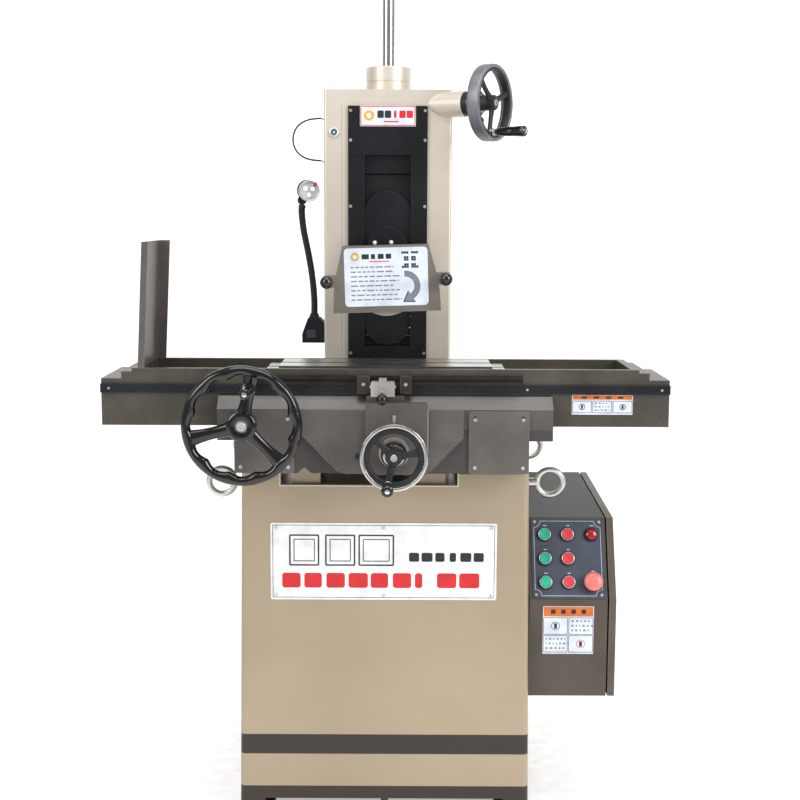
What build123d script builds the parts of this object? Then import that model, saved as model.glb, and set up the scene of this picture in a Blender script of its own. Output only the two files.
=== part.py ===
from build123d import *
from math import cos, pi, radians, sin, tan
import os

# Manual surface grinder, in millimetres. Origin: centre of the base's footprint on the floor.
# +X is to the operator's right, +Y towards the back, +Z up; the operator stands at -Y.

# ---------------------------------------------------------------- driving dimensions
base_foot_length = 640
base_top_length = 620
base_depth = 750
base_height = 779
base_corner = 12
base_wall = 14
base_plate = 44
foot_arch_half = 264
foot_arch_height = 47
anchor_x = 275
anchor_y = 315
anchor_hole_r = 9

way_centre_x = -35
way_recess_length = 380
way_recess_depth = 24
way_rail_width = 60
way_rail_spacing = 270
way_rail_height = 33
vee_half_width = 16
vee_height = 12

column_width = 300
column_front_y = -15
column_back_y = 320
column_top_z = 1621
column_wall = 14
column_top_plate = 20
column_corner = 6
panel_half_width = 93
panel_low_z = 900
panel_high_z = 1583
panel_thick = 6
slot_half_width = 54.5
slot_low_z = 1020
slot_high_z = 1471

lift_y = 78
screw_r = 15
flange_r = 53.5
flange_height = 58
rod_top_z = 1930
arm_z = 1587
arm_angle = 31.4
arm_r = 30
arm_inner_t = 100
arm_outer_t = 212
lift_wheel_t = 280
lift_wheel_r = 87.5

spindle_z = 1184
spindle_r = 18
nose_r = 15.8
boss_r = 44
boss_top_z = 1260
housing_r = 40
housing_end_y = -196
stone_r = 75
stone_width = 13
stone_y = -225
guard_front_y = -245
guard_wall = 3
guard_tilt = 1.8

saddle_left_x = -317
saddle_right_x = 303
saddle_front_y = -430
saddle_back_y = -170
saddle_plate_top_z = 884
saddle_lip_half = 353
saddle_lip_top_z = 951
saddle_bed_half = 340
saddle_under_z = 791

table_half = 602
table_front_y = -395
table_back_y = -175
table_skirt_z = 886
table_slab_z = 950
table_end_z = 986
table_lip_z = 1008
table_wall = 12
platen_half = 228.5
platen_top_z = 1010

big_wheel_x = -290.5
big_wheel_y = -525
big_wheel_z = 904.6
big_wheel_r = 123.7
cross_x = 19
cross_z = 839
cross_wheel_y = -515
cross_wheel_r = 70

gear_module = 1.5
gear_teeth = 20
pinion_teeth = 18
backlash = 0.35

cabinet_x0 = 318
cabinet_x1 = 490
cabinet_sheet = 2.5
door_x1 = 509
door_gap = 3.5

slide_gap = 0.1
run_fit = 0.05
bore_gap = 0.02
free_gap = 0.3

# ---------------------------------------------------------------- derived values
column_half = column_width / 2
base_cavity_z = base_height - base_plate
recess_z = base_height - way_recess_depth
rail_top_z = recess_z + way_rail_height
rail_left_x = way_centre_x - way_rail_spacing / 2
rail_right_x = way_centre_x + way_rail_spacing / 2
gear_r = gear_module * gear_teeth / 2
pinion_r = gear_module * pinion_teeth / 2
layshaft_z = big_wheel_z - 2 * gear_r
rack_line_z = layshaft_z + pinion_r
gear_room = gear_r + gear_module + 2.5
pinion_room = pinion_r + gear_module + 3
arm_dir = Vector(cos(radians(arm_angle)), -sin(radians(arm_angle)), 0)
arm_side = Vector(sin(radians(arm_angle)), cos(radians(arm_angle)), 0)
lift_centre = Vector(0, lift_y, arm_z)
slope_dir = Vector(0, 80, 168).normalized()
slope_out = Vector(0, -168, 80).normalized()


def side_x(z):
    """X of the tapering side wall of the base at height z."""
    return (base_foot_length - (base_foot_length - base_top_length) * z / base_height) / 2


def facing(x, y, z):
    """A plane that faces the operator: its own x to the right, its own y up."""
    return Plane(origin=(x, y, z), x_dir=(1, 0, 0), z_dir=(0, -1, 0))


def arm_plane(t):
    """A plane across the elevation arm at distance t from the lift screw, facing outwards."""
    return Plane(origin=lift_centre + arm_dir * t, x_dir=arm_side, z_dir=arm_dir)


def guard_plane(y):
    """A plane across the spindle that turns with the slightly tilted wheel guard."""
    a = radians(guard_tilt)
    return Plane(origin=(0, y, spindle_z), x_dir=(cos(a), 0, sin(a)), z_dir=(0, -1, 0))


def slope_plane(x, z, lift=0):
    """A plane on the cabinet's slanted front at X and height z, raised off it by lift."""
    along = (z - 493) / slope_dir.Z
    at = Vector(x, -345, 493) + slope_dir * along + slope_out * lift
    return Plane(origin=at, x_dir=(1, 0, 0), z_dir=slope_out)


def block(x0, x1, y0, y1, z0, z1, mode=Mode.ADD):
    """A box between two opposite corners, inside the part being built."""
    with Locations(((x0 + x1) / 2, (y0 + y1) / 2, (z0 + z1) / 2)):
        Box(x1 - x0, y1 - y0, z1 - z0, mode=mode)


def disc(plane, radius, length, mode=Mode.ADD):
    """A cylinder on a plane that points the way the plane faces, or the other way if length is negative."""
    end = Align.MIN if length > 0 else Align.MAX
    with Locations(plane):
        Cylinder(radius, abs(length), align=(Align.CENTER, Align.CENTER, end), mode=mode)


def finish(name, built):
    """Label a finished piece and write it out."""
    built.part.label = name
    export_step(built.part, "parts/" + name + ".step")


os.makedirs("parts", exist_ok=True)

# ---------------------------------------------------------------- base
with BuildPart() as base_casting:
    with BuildSketch(Plane.XY):
        RectangleRounded(base_foot_length, base_depth, base_corner)
    with BuildSketch(Plane.XY.offset(base_height)):
        RectangleRounded(base_top_length, base_depth, base_corner)
    loft()
    with BuildSketch(Plane.XY):
        RectangleRounded(base_foot_length - 2 * base_wall, base_depth - 2 * base_wall, base_corner / 2)
    with BuildSketch(Plane.XY.offset(base_cavity_z)):
        RectangleRounded(base_top_length - 2 * base_wall, base_depth - 2 * base_wall, base_corner / 2)
    loft(mode=Mode.SUBTRACT)
    # floor ribs that cross under the middle, and the lifting arches in front and behind
    rib = base_wall / 2 + 1
    inner_y = base_depth / 2 - base_wall + 1
    inner_x = side_x(0) - base_wall - 1
    block(-rib, rib, -inner_y, inner_y, 0, 110)
    block(-inner_x, inner_x, -rib, rib, 0, 110)
    for side in (-1, 1):
        wall_y = side * (base_depth / 2 - base_wall / 2)
        with Locations((0, wall_y, foot_arch_height / 2 - 1)):
            Box(2 * foot_arch_half, base_wall + 4, foot_arch_height + 2, mode=Mode.SUBTRACT)
    # anchor lugs inside the four corners
    for lug_x in (-1, 1):
        for lug_y in (-1, 1):
            x_far = lug_x * (side_x(20) - base_wall + 1)
            y_far = lug_y * (base_depth / 2 - base_wall + 1)
            x_near = lug_x * (anchor_x - 28)
            y_near = lug_y * (anchor_y - 28)
            block(min(x_far, x_near), max(x_far, x_near), min(y_far, y_near), max(y_far, y_near), 0, 20)
    with Locations((0, 0, 10)):
        with GridLocations(2 * anchor_x, 2 * anchor_y, 2, 2):
            Cylinder(anchor_hole_r, 30, mode=Mode.SUBTRACT)
    # recess for the cross ways, then the flat rail and the vee rail
    way_back_y = column_front_y - 5
    recess_x0 = way_centre_x - way_recess_length / 2
    recess_x1 = way_centre_x + way_recess_length / 2
    block(recess_x0, recess_x1, -base_depth / 2 - 1, way_back_y, recess_z, base_height + 1, Mode.SUBTRACT)
    for rail_x in (rail_left_x, rail_right_x):
        block(rail_x - way_rail_width / 2, rail_x + way_rail_width / 2, -base_depth / 2 + 12, way_back_y,
              recess_z - 1, rail_top_z)
    with BuildSketch(Plane.XZ.offset(base_depth / 2 - 12)):
        with BuildLine():
            Polyline((rail_left_x - vee_half_width, rail_top_z - 1), (rail_left_x, rail_top_z + vee_height),
                     (rail_left_x + vee_half_width, rail_top_z - 1), close=True)
        make_face()
    extrude(amount=-(base_depth / 2 - 12 + way_back_y))
    # bracket that holds the cross-feed nut, bored for the screw
    block(cross_x - 22, cross_x + 22, -215, -175, recess_z - 1, cross_z + 20)
    disc(facing(cross_x, -170, cross_z), 10 + run_fit, 50, Mode.SUBTRACT)
    # holes for the eye bolts
    for eye_y in (-235, 265):
        with Locations(Plane.YZ):
            with Locations((eye_y, 735)):
                Cylinder(8.2, 700, mode=Mode.SUBTRACT)
finish("base_casting", base_casting)

eye_ring_r = 29
eye_bar_r = 7
eye_reach = 369
with BuildPart() as eye_bolts:
    for side in (-1, 1):
        for eye_y in (-235, 265):
            wall_x = side_x(721) + 0.02
            with Locations((side * eye_reach, eye_y, 735)):
                Torus(eye_ring_r, eye_bar_r, rotation=(90, 0, 0))
            out = Plane(origin=(side * (wall_x - 20), eye_y, 735), z_dir=(side, 0, 0))
            disc(out, 8, 20.5)
            collar = Plane(origin=(side * wall_x, eye_y, 735), z_dir=(side, 0, 0))
            disc(collar, 14, 6)
            neck = Plane(origin=(side * (wall_x + 5), eye_y, 735), z_dir=(side, 0, 0))
            disc(neck, 10, eye_reach - eye_ring_r - wall_x - 5)
finish("eye_bolts", eye_bolts)

nameplate_x = -3
nameplate_z = 586
nameplate_w = 490
nameplate_h = 170
with BuildPart() as nameplate:
    with BuildSketch(facing(nameplate_x, -base_depth / 2 - slide_gap / 2, nameplate_z)):
        RectangleRounded(nameplate_w, nameplate_h, 4)
    extrude(amount=1.5)
finish("nameplate", nameplate)

# ---------------------------------------------------------------- column
front_open_low = 920
front_open_high = 1575
front_open_half = 75
way_keep_z0 = 960
way_keep_z1 = 1590
rear_open_low = 900
rear_open_high = 1560
rear_open_half = 110
cavity_half = column_half - column_wall
cavity_front = column_front_y + column_wall
cavity_back = column_back_y - column_wall
cavity_top = column_top_z - column_top_plate
carrier_y = 9
with BuildPart() as column_casting:
    block(-column_half, column_half, column_front_y, column_back_y, base_height, column_top_z)
    fillet(column_casting.edges().filter_by(Axis.Z), column_corner)
    block(-cavity_half, cavity_half, cavity_front, cavity_back, base_height + column_wall, cavity_top,
          Mode.SUBTRACT)
    block(-front_open_half, front_open_half, column_front_y - 1, cavity_front + 1, front_open_low,
          front_open_high, Mode.SUBTRACT)
    block(-rear_open_half, rear_open_half, cavity_back - 1, column_back_y + 1, rear_open_low,
          rear_open_high, Mode.SUBTRACT)
    # upright ways inside the front wall, and the keeper strips behind them
    for side in (-1, 1):
        inner, outer = sorted((side * 84, side * 118))
        block(inner, outer, cavity_front - 1, carrier_y, way_keep_z0, way_keep_z1)
        inner, outer = sorted((side * 104, side * (cavity_half + 1)))
        block(inner, outer, carrier_y + 18 + 2 * slide_gap, carrier_y + 28, way_keep_z0, way_keep_z1)
    # seats for the rotating lift nut and for the elevation arm
    disc(Plane.XY.offset(cavity_top - 1).move(Location((0, lift_y, 0))), 26 + run_fit, 30, Mode.SUBTRACT)
    disc(arm_plane(60), arm_r + run_fit, 220, Mode.SUBTRACT)
    disc(arm_plane(24), 23, 60, Mode.SUBTRACT)
    # bore behind the sight glass
    disc(facing(-126, cavity_front + 1, 1522), 7, 20, Mode.SUBTRACT)
finish("column_casting", column_casting)

with BuildPart() as column_panel:
    with BuildSketch(facing(0, column_front_y, 0)):
        with Locations((0, (panel_low_z + panel_high_z) / 2)):
            RectangleRounded(2 * panel_half_width, panel_high_z - panel_low_z, 2)
        with Locations((0, (slot_low_z + slot_high_z) / 2)):
            RectangleRounded(2 * slot_half_width, slot_high_z - slot_low_z, 5, mode=Mode.SUBTRACT)
    extrude(amount=panel_thick)
finish("column_panel", column_panel)

with BuildPart() as rear_cover:
    with BuildSketch(Plane(origin=(0, column_back_y, (rear_open_low + rear_open_high) / 2),
                           x_dir=(-1, 0, 0), z_dir=(0, 1, 0))):
        RectangleRounded(2 * rear_open_half + 30, rear_open_high - rear_open_low + 30, 6)
        with Locations((0, -160)):
            with GridLocations(0, 16, 1, 7):
                SlotOverall(120, 6, mode=Mode.SUBTRACT)
    extrude(amount=3)
finish("rear_cover", rear_cover)

# screws: the black panel's rows, the nameplate's six, the rear cover's edges and the top flange's four bolts
with BuildPart() as casing_screws:
    for row_z in (1572, 1504, 1351, 1005):
        for side in (-1, 1):
            disc(facing(side * 87, column_front_y - panel_thick, row_z), 3.2, 2)
    for col_x in (-1, 0, 1):
        for row in (-1, 1):
            disc(facing(nameplate_x + col_x * (nameplate_w / 2 - 12), -base_depth / 2 - 1.55,
                        nameplate_z + row * (nameplate_h / 2 - 10)), 3.6, 1.8)
    for side in (-1, 1):
        for row_z in (rear_open_low - 7, (rear_open_low + rear_open_high) / 2, rear_open_high + 7):
            disc(Plane(origin=(side * (rear_open_half + 8), column_back_y + 3, row_z), z_dir=(0, 1, 0)), 4, 3)
    for at in PolarLocations(40, 4, start_angle=45):
        spot = at.position
        disc(Plane(origin=(spot.X, lift_y + spot.Y, column_top_z + flange_height - 5)), 5.5, 7)
        disc(Plane(origin=(spot.X, lift_y + spot.Y, column_top_z + 10)), 3, flange_height - 15)
finish("casing_screws", casing_screws)

with BuildPart() as top_flange:
    with BuildSketch(Plane(origin=(0, lift_y, column_top_z), x_dir=(1, 0, 0), z_dir=(0, -1, 0))):
        with BuildLine():
            Polyline((27, 0), (flange_r, 0), (flange_r, 19), (flange_r - 1.5, 20), (flange_r - 1.5, 24),
                     (flange_r, 25), (flange_r, flange_height - 2), (flange_r - 2, flange_height),
                     (screw_r + free_gap, flange_height), (screw_r + free_gap, 30), (27, 30), close=True)
        make_face()
    revolve(axis=Axis((0, lift_y, 0), (0, 0, 1)))
    with Locations(Plane(origin=(0, lift_y, column_top_z + flange_height))):
        with PolarLocations(40, 4, start_angle=45):
            CounterBoreHole(3.4, 6.2, 5, depth=flange_height)
finish("top_flange", top_flange)

shaft_r = 12
with BuildPart() as elevation_arm:
    disc(arm_plane(arm_inner_t), arm_r, arm_outer_t - arm_inner_t)
    disc(arm_plane(arm_inner_t - 1), shaft_r + run_fit, arm_outer_t - arm_inner_t + 2, Mode.SUBTRACT)
    disc(arm_plane(arm_inner_t + 20), shaft_r + 8, arm_outer_t - arm_inner_t - 40, Mode.SUBTRACT)
    chamfer(elevation_arm.edges().filter_by(GeomType.CIRCLE).group_by(SortBy.RADIUS)[-1], 1.5)
finish("elevation_arm", elevation_arm)

# oil line that loops out of the column's left side
oil_r = 2
oil_y = 30
oil_route = [(-150, 1557), (-172, 1557), (-199, 1551), (-219, 1535), (-227, 1509), (-221, 1483),
             (-202, 1465), (-174, 1458), (-150, 1458)]
oil_points = [Vector(x, oil_y, z) for x, z in oil_route]
oil_radii = []
for a, b, c in zip(oil_points, oil_points[1:], oil_points[2:]):
    turn = (b - a).get_angle(c - b)
    oil_radii.append(0.45 * min((b - a).length, (c - b).length) / tan(radians(turn / 2)))
print("oil line radii", [round(r) for r in oil_radii])
with BuildPart() as oil_line:
    with BuildLine():
        route = FilletPolyline(*oil_points, radius=oil_radii)
    with BuildSketch(Plane(origin=oil_points[0], z_dir=route % 0)):
        Circle(oil_r)
    sweep(path=route)
print("oil line", round(oil_line.part.volume), "of", round(pi * oil_r ** 2 * route.length))
finish("oil_line", oil_line)

# ---------------------------------------------------------------- gears and rack
def gear_outline(teeth, module, phase=0):
    """Points of a spur gear with straight-sided teeth, thinned by half of the backlash."""
    pitch_r = module * teeth / 2
    half = (pi * module / 4 - backlash / 2) / pitch_r
    points = []
    for n in range(teeth):
        middle = 2 * pi * n / teeth + phase
        for turn, radius in ((-1.75 * half, pitch_r - 1.25 * module), (-0.5 * half, pitch_r + 0.8 * module),
                             (0.5 * half, pitch_r + 0.8 * module), (1.75 * half, pitch_r - 1.25 * module)):
            points.append((radius * cos(middle + turn), radius * sin(middle + turn)))
    return points


def rack_outline(x_start, teeth, module, line_z, top_z):
    """Points of a rack whose teeth hang down to the pitch line and a little past it."""
    pitch = pi * module
    points = [(x_start, top_z)]
    for n in range(teeth):
        middle = x_start + (n + 0.5) * pitch
        for step, z in ((-0.42 * pitch, line_z + 1.25 * module), (-0.1 * pitch, line_z - 0.8 * module),
                        (0.1 * pitch, line_z - 0.8 * module), (0.42 * pitch, line_z + 1.25 * module)):
            points.append((middle + step, z))
    return points + [(x_start + teeth * pitch, top_z)]


# ---------------------------------------------------------------- saddle
saddle_y0 = saddle_front_y
bed_y0 = table_front_y + 20
bed_y1 = table_back_y - 20
channel_y0 = -310
channel_y1 = -262
apron_thick = 10
box_thick = 10
gear_box_depth = 22
gear_wide = 14
with BuildPart() as saddle_casting:
    block(saddle_left_x, saddle_right_x, saddle_y0, saddle_back_y, saddle_under_z, saddle_plate_top_z)
    # wide plate under the table, with the front lip that slopes back at its top
    block(-saddle_lip_half, saddle_lip_half, saddle_y0, bed_y1 + 10, saddle_plate_top_z - 24,
          saddle_plate_top_z)
    with BuildSketch(Plane.YZ.offset(-saddle_lip_half)):
        with BuildLine():
            Polyline((saddle_y0, saddle_plate_top_z - 1), (saddle_y0, 926), (saddle_y0 + 28, saddle_lip_top_z),
                     (saddle_y0 + 30, saddle_lip_top_z), (saddle_y0 + 30, saddle_plate_top_z - 1), close=True)
        make_face()
    extrude(amount=2 * saddle_lip_half)
    # raised bed with a flat way and a vee way for the table
    bed_top = table_slab_z - 14
    block(-saddle_bed_half, saddle_bed_half, bed_y0, bed_y1, saddle_plate_top_z - 1, bed_top)
    block(-saddle_bed_half, saddle_bed_half, bed_y1 - 50, bed_y1 - 8, bed_top - 1, table_slab_z - slide_gap)
    with BuildSketch(Plane.YZ.offset(-saddle_bed_half)):
        with BuildLine():
            Polyline((bed_y0 + 10, bed_top - 1), (bed_y0 + 10, bed_top + 4), (bed_y0 + 26, table_slab_z - slide_gap),
                     (bed_y0 + 34, table_slab_z - slide_gap), (bed_y0 + 50, bed_top + 4),
                     (bed_y0 + 50, bed_top - 1), close=True)
        make_face()
    extrude(amount=2 * saddle_bed_half)
    # channel in which the rack runs, and the pocket round its pinion
    channel_floor_z = min(saddle_plate_top_z, rack_line_z - 2.5 * gear_module)
    block(-saddle_bed_half - 1, saddle_bed_half + 1, channel_y0, channel_y1, channel_floor_z,
          table_slab_z + 1, Mode.SUBTRACT)
    block(big_wheel_x - pinion_room, big_wheel_x + pinion_room, channel_y0 + 3, channel_y1 - 1,
          layshaft_z - pinion_room, saddle_plate_top_z + 1, Mode.SUBTRACT)
    # gear chamber behind the left cover plate
    block(big_wheel_x - gear_room, big_wheel_x + 30, saddle_y0 - 1, saddle_y0 + gear_box_depth,
          layshaft_z - gear_room, big_wheel_z + gear_room, Mode.SUBTRACT)
    disc(facing(big_wheel_x, saddle_y0 + 29, big_wheel_z), 7 + run_fit, 30, Mode.SUBTRACT)
    disc(facing(big_wheel_x, channel_y0 + 10, layshaft_z), 7 + run_fit, 120, Mode.SUBTRACT)
    # a pocket behind the right cover plate
    block(190, 290, saddle_y0 - 1, saddle_y0 + 60, 806, 876, Mode.SUBTRACT)
    # tunnel for the cross-feed screw and its nut bracket, and the bore at its front
    block(cross_x - 28, cross_x + 28, saddle_y0 + 40, saddle_back_y + 1, saddle_under_z - 1,
          cross_z + 26, Mode.SUBTRACT)
    disc(facing(cross_x, saddle_y0 + 45, cross_z), 10 + run_fit, 60, Mode.SUBTRACT)
    # pads that ride on the flat rail and over the vee
    for rail_x in (rail_left_x, rail_right_x):
        block(rail_x - way_rail_width / 2 + 2, rail_x + way_rail_width / 2 - 2, saddle_y0 + 10, saddle_back_y,
              rail_top_z + slide_gap, saddle_under_z + 1)
    with BuildSketch(Plane.XZ.offset(-saddle_y0 + 1)):
        with BuildLine():
            wide = vee_half_width * 1.2
            Polyline((rail_left_x - wide, rail_top_z - 2), (rail_left_x, rail_top_z + vee_height * 1.25),
                     (rail_left_x + wide, rail_top_z - 2), close=True)
        make_face()
    extrude(amount=-(saddle_back_y - saddle_y0 + 2), mode=Mode.SUBTRACT)
finish("saddle_casting", saddle_casting)

apron_half = 172
apron_mid = -8
with BuildPart() as apron:
    with BuildSketch(facing(apron_mid, saddle_y0, 0)):
        with BuildLine():
            Polyline((-apron_half, 926), (-apron_half, 878), (-apron_half + 78, 797), (-apron_half + 100, 791),
                     (apron_half - 90, 791), (apron_half - 68, 797), (apron_half, 868), (apron_half, 926),
                     close=True)
        make_face()
    extrude(amount=apron_thick)
    # upright box round the cross-feed screw
    with BuildSketch(facing(24.5, saddle_y0 - apron_thick + 1, (791 + 942) / 2)):
        RectangleRounded(129, 942 - 791, 4)
    extrude(amount=box_thick + 1)
    block(-39, 88, saddle_y0 - apron_thick, saddle_y0 - 0.3, 925, 942)
    disc(facing(cross_x, saddle_y0 + 2, cross_z), 10 + run_fit, 40, Mode.SUBTRACT)
finish("apron", apron)

cover_low_z = 791
cover_high_z = 924
with BuildPart() as cover_plates:
    for low_x, high_x in ((saddle_left_x, -191), (176, saddle_right_x)):
        with BuildSketch(facing((low_x + high_x) / 2, saddle_y0, (cover_low_z + cover_high_z) / 2)):
            RectangleRounded(high_x - low_x, cover_high_z - cover_low_z, 5)
            with GridLocations(high_x - low_x - 26, cover_high_z - cover_low_z - 26, 2, 2):
                Circle(2.8, mode=Mode.SUBTRACT)
        extrude(amount=5)
    disc(facing(big_wheel_x, saddle_y0 + 1, big_wheel_z), 13, 10, Mode.SUBTRACT)
finish("cover_plates", cover_plates)

box_front_y = saddle_y0 - apron_thick - box_thick
with BuildPart() as feed_bearings:
    disc(facing(big_wheel_x, saddle_y0 - 5, big_wheel_z), 18, 38)
    disc(facing(big_wheel_x, saddle_y0, big_wheel_z), 12.9, 6)
    disc(facing(big_wheel_x, saddle_y0 + 1, big_wheel_z), 10 + run_fit, 60, Mode.SUBTRACT)
    disc(facing(cross_x, box_front_y, cross_z), 32, 9)
    disc(facing(cross_x, box_front_y - 8, cross_z), 22, 6)
    disc(facing(cross_x, box_front_y + 1, cross_z), 10 + run_fit, 30, Mode.SUBTRACT)
finish("feed_bearings", feed_bearings)

bracket_low_z = 942
bracket_high_z = 955
with BuildPart() as stop_bracket:
    block(-39, 40, saddle_y0 - 6, saddle_y0 + 15, bracket_low_z + 0.02, bracket_high_z)
    for screw_x in (-36, 30):
        disc(Plane.XY.offset(bracket_high_z + 1).move(Location((screw_x, saddle_y0 + 5, 0))), 2.6, -20, Mode.SUBTRACT)
finish("stop_bracket", stop_bracket)

stop_x = -5
dog_face_y = table_front_y - 24
knob_centre = Vector(-6, -478, 953.4)
with BuildPart() as stop_block:
    block(stop_x - 25, stop_x + 25, dog_face_y - 27, dog_face_y - 2, bracket_high_z + slide_gap, 986)
    fillet(stop_block.edges().filter_by(Axis.Y).group_by(Axis.Z)[-1], 3)
    block(stop_x - 8, stop_x + 8, dog_face_y - 24, dog_face_y - 5, 985, 993)
    disc(Plane(origin=(stop_x - 27, dog_face_y - 14, 974), z_dir=(1, 0, 0)), 3.5, 54)
    stem = Plane(origin=(knob_centre.X, dog_face_y - 24, 966),
                 z_dir=knob_centre - Vector(knob_centre.X, dog_face_y - 24, 966))
    disc(stem, 3.5, 32)
    with Locations(knob_centre):
        Sphere(12)
finish("stop_block", stop_block)

# ---------------------------------------------------------------- table
trough_floor_z = 986
rack_teeth = 108
rack_x0 = big_wheel_x - (rack_teeth - 1) / 2 * pi * gear_module
with BuildPart() as table_casting:
    block(-table_half, table_half, table_front_y, table_back_y, table_skirt_z, table_end_z)
    block(-559, 559, table_front_y, table_back_y, table_end_z - 1, 1001)
    block(-537, 537, table_front_y, table_back_y, 1000, table_lip_z)
    # coolant trough round the work surface, and the hollow underneath
    block(-520, 520, table_front_y + table_wall, table_back_y - table_wall, trough_floor_z, table_lip_z + 1,
          Mode.SUBTRACT)
    block(-590, 590, table_front_y + table_wall, table_back_y - table_wall, table_skirt_z - 1, table_slab_z,
          Mode.SUBTRACT)
    # vee groove over the saddle's vee way
    with BuildSketch(Plane.YZ.offset(-590)):
        with BuildLine():
            Polyline((bed_y0 + 9, table_slab_z + 1), (bed_y0 + 9, table_slab_z - 9),
                     (bed_y0 + 25.6, table_slab_z), (bed_y0 + 25.6, table_slab_z + 1), close=True)
        make_face()
        with BuildLine():
            Polyline((bed_y0 + 51, table_slab_z + 1), (bed_y0 + 51, table_slab_z - 9),
                     (bed_y0 + 34.4, table_slab_z), (bed_y0 + 34.4, table_slab_z + 1), close=True)
        make_face()
    extrude(amount=1180)
    # coolant drain at the left end
    with BuildSketch(Plane.YZ.offset(-table_half)):
        with Locations(((table_front_y + table_back_y) / 2, trough_floor_z + 8)):
            SlotOverall(40, 8)
    extrude(amount=120, mode=Mode.SUBTRACT)
    # rack cut into the bar under the table
    with BuildSketch(Plane.XZ.offset(300)):
        with BuildLine():
            Polyline(*rack_outline(rack_x0, rack_teeth, gear_module, rack_line_z, table_slab_z + 1), close=True)
        make_face()
    extrude(amount=-24)
finish("table_casting", table_casting)

platen_wide = 152
platen_mid_y = (table_front_y + table_back_y) / 2
with BuildPart() as platen:
    block(-platen_half, platen_half, platen_mid_y - platen_wide / 2, platen_mid_y + platen_wide / 2,
          trough_floor_z, platen_top_z)
    block(-258, 258, platen_mid_y - platen_wide / 2, platen_mid_y + platen_wide / 2, trough_floor_z, 1001)
    # the T slot
    block(-259, 259, platen_mid_y - 7, platen_mid_y + 7, 998, platen_top_z + 1, Mode.SUBTRACT)
    block(-259, 259, platen_mid_y - 12, platen_mid_y + 12, 990, 999, Mode.SUBTRACT)
finish("platen", platen)

with BuildPart() as front_strip:
    block(-603, 603, table_front_y - 6, table_front_y, 956, 975)
finish("front_strip", front_strip)

with BuildPart() as dog_rail:
    block(-290, 290, table_front_y - 10, table_front_y, 975, 994)
    block(-291, 291, table_front_y - 11, table_front_y - 6, 982, 987, Mode.SUBTRACT)
finish("dog_rail", dog_rail)


def dog(low_x, high_x):
    """A stop dog that clamps to the rail on the front of the table."""
    with BuildPart() as built:
        block(low_x, high_x, dog_face_y, table_front_y - 10 - free_gap, 959, 996)
        block(low_x, high_x, table_front_y - 11, table_front_y - 6 - free_gap, 982 + free_gap, 987 - free_gap)
        middle = (low_x + high_x) / 2
        disc(facing(middle, table_front_y - 13, 977), 4, 20, Mode.SUBTRACT)
    return built


left_dog = dog(-59, -33)
finish("left_dog", left_dog)
right_dog = dog(31, 55)
finish("right_dog", right_dog)

lean = tan(radians(2.8))
guard_foot_z = table_lip_z + 0.02
guard_high_z = 1273


def leaning(x_low, width):
    """Corners of a strip of the splash guard, seen from the front."""
    shift = (guard_high_z - guard_foot_z) * lean
    return [(x_low, guard_foot_z), (x_low + width, guard_foot_z), (x_low + width + shift, guard_high_z),
            (x_low + shift, guard_high_z)]


with BuildPart() as splash_guard:
    for x_low, width, y_front, y_back in ((-524, 3, table_front_y, table_back_y),
                                          (-522, 12, table_front_y, table_front_y + 3),
                                          (-522, 22, table_back_y - 3, table_back_y)):
        with BuildSketch(Plane.XZ.offset(-y_front)):
            with BuildLine():
                Polyline(*leaning(x_low, width), close=True)
            make_face()
        extrude(amount=-(y_back - y_front))
finish("splash_guard", splash_guard)

# ---------------------------------------------------------------- handwheels
def handwheel(plane, outer, rim, depth, hub, spoke, angles, back, front, bore, pin_r, scallops=0, dial=None):
    """A spoked handwheel centred on a plane, with its hub, bore, dial and the pin that carries its handle."""
    with BuildPart() as built:
        with BuildSketch(plane.offset(-depth / 2)):
            Circle(outer)
            Circle(outer - rim, mode=Mode.SUBTRACT)
            if scallops:
                with PolarLocations(outer - rim - 3, scallops):
                    Circle(rim * 0.36, mode=Mode.SUBTRACT)
        extrude(amount=depth)
        fillet(built.edges().filter_by(GeomType.CIRCLE).group_by(SortBy.RADIUS)[-1], depth * 0.3)
        with BuildSketch(plane.offset(-depth / 4)):
            for angle in angles:
                with Locations(Location((0, 0, 0), (0, 0, angle))):
                    with Locations(((outer - rim * 0.6) / 2, 0)):
                        Rectangle(outer - rim * 0.6, spoke)
        extrude(amount=depth / 2)
        disc(plane.offset(-back), hub, back + front)
        if dial:
            disc(plane.offset(-back), dial[0], -dial[1])
        deepest = back + (dial[1] if dial else 0)
        disc(plane.offset(-deepest - 1), bore, deepest + front - 3, Mode.SUBTRACT)
        reach, angle = pin_r
        at = plane * Location((reach * cos(radians(angle)), reach * sin(radians(angle)), 0))
        disc(Plane(at), spoke * 0.55, depth / 2 + 3)
        disc(Plane(at), 4, depth / 2 + 3 + 50)
    return built


def grip(plane, pin_r, depth, spoke, length, foot_r, waist_r, end_r):
    """The revolving handle of a handwheel, bored for its pin."""
    reach, angle = pin_r
    at = Plane(plane * Location((reach * cos(radians(angle)), reach * sin(radians(angle)), 0)))
    start = depth / 2 + 3 + free_gap
    with BuildPart() as built:
        with BuildSketch(Plane(origin=at.origin, x_dir=at.x_dir, z_dir=at.y_dir)):
            with BuildLine():
                base = Line((0, -start), (foot_r, -start))
                side = Spline(base @ 1, (waist_r, -start - length * 0.3), (end_r, -start - length * 0.8),
                              (end_r * 0.8, -start - length))
                top = Line(side @ 1, (0, -start - length))
                Line(top @ 1, (0, -start))
            make_face()
        revolve(axis=Axis(at.origin, at.z_dir))
        disc(at.offset(start - 1), 4 + run_fit, 52, Mode.SUBTRACT)
    return built


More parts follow.
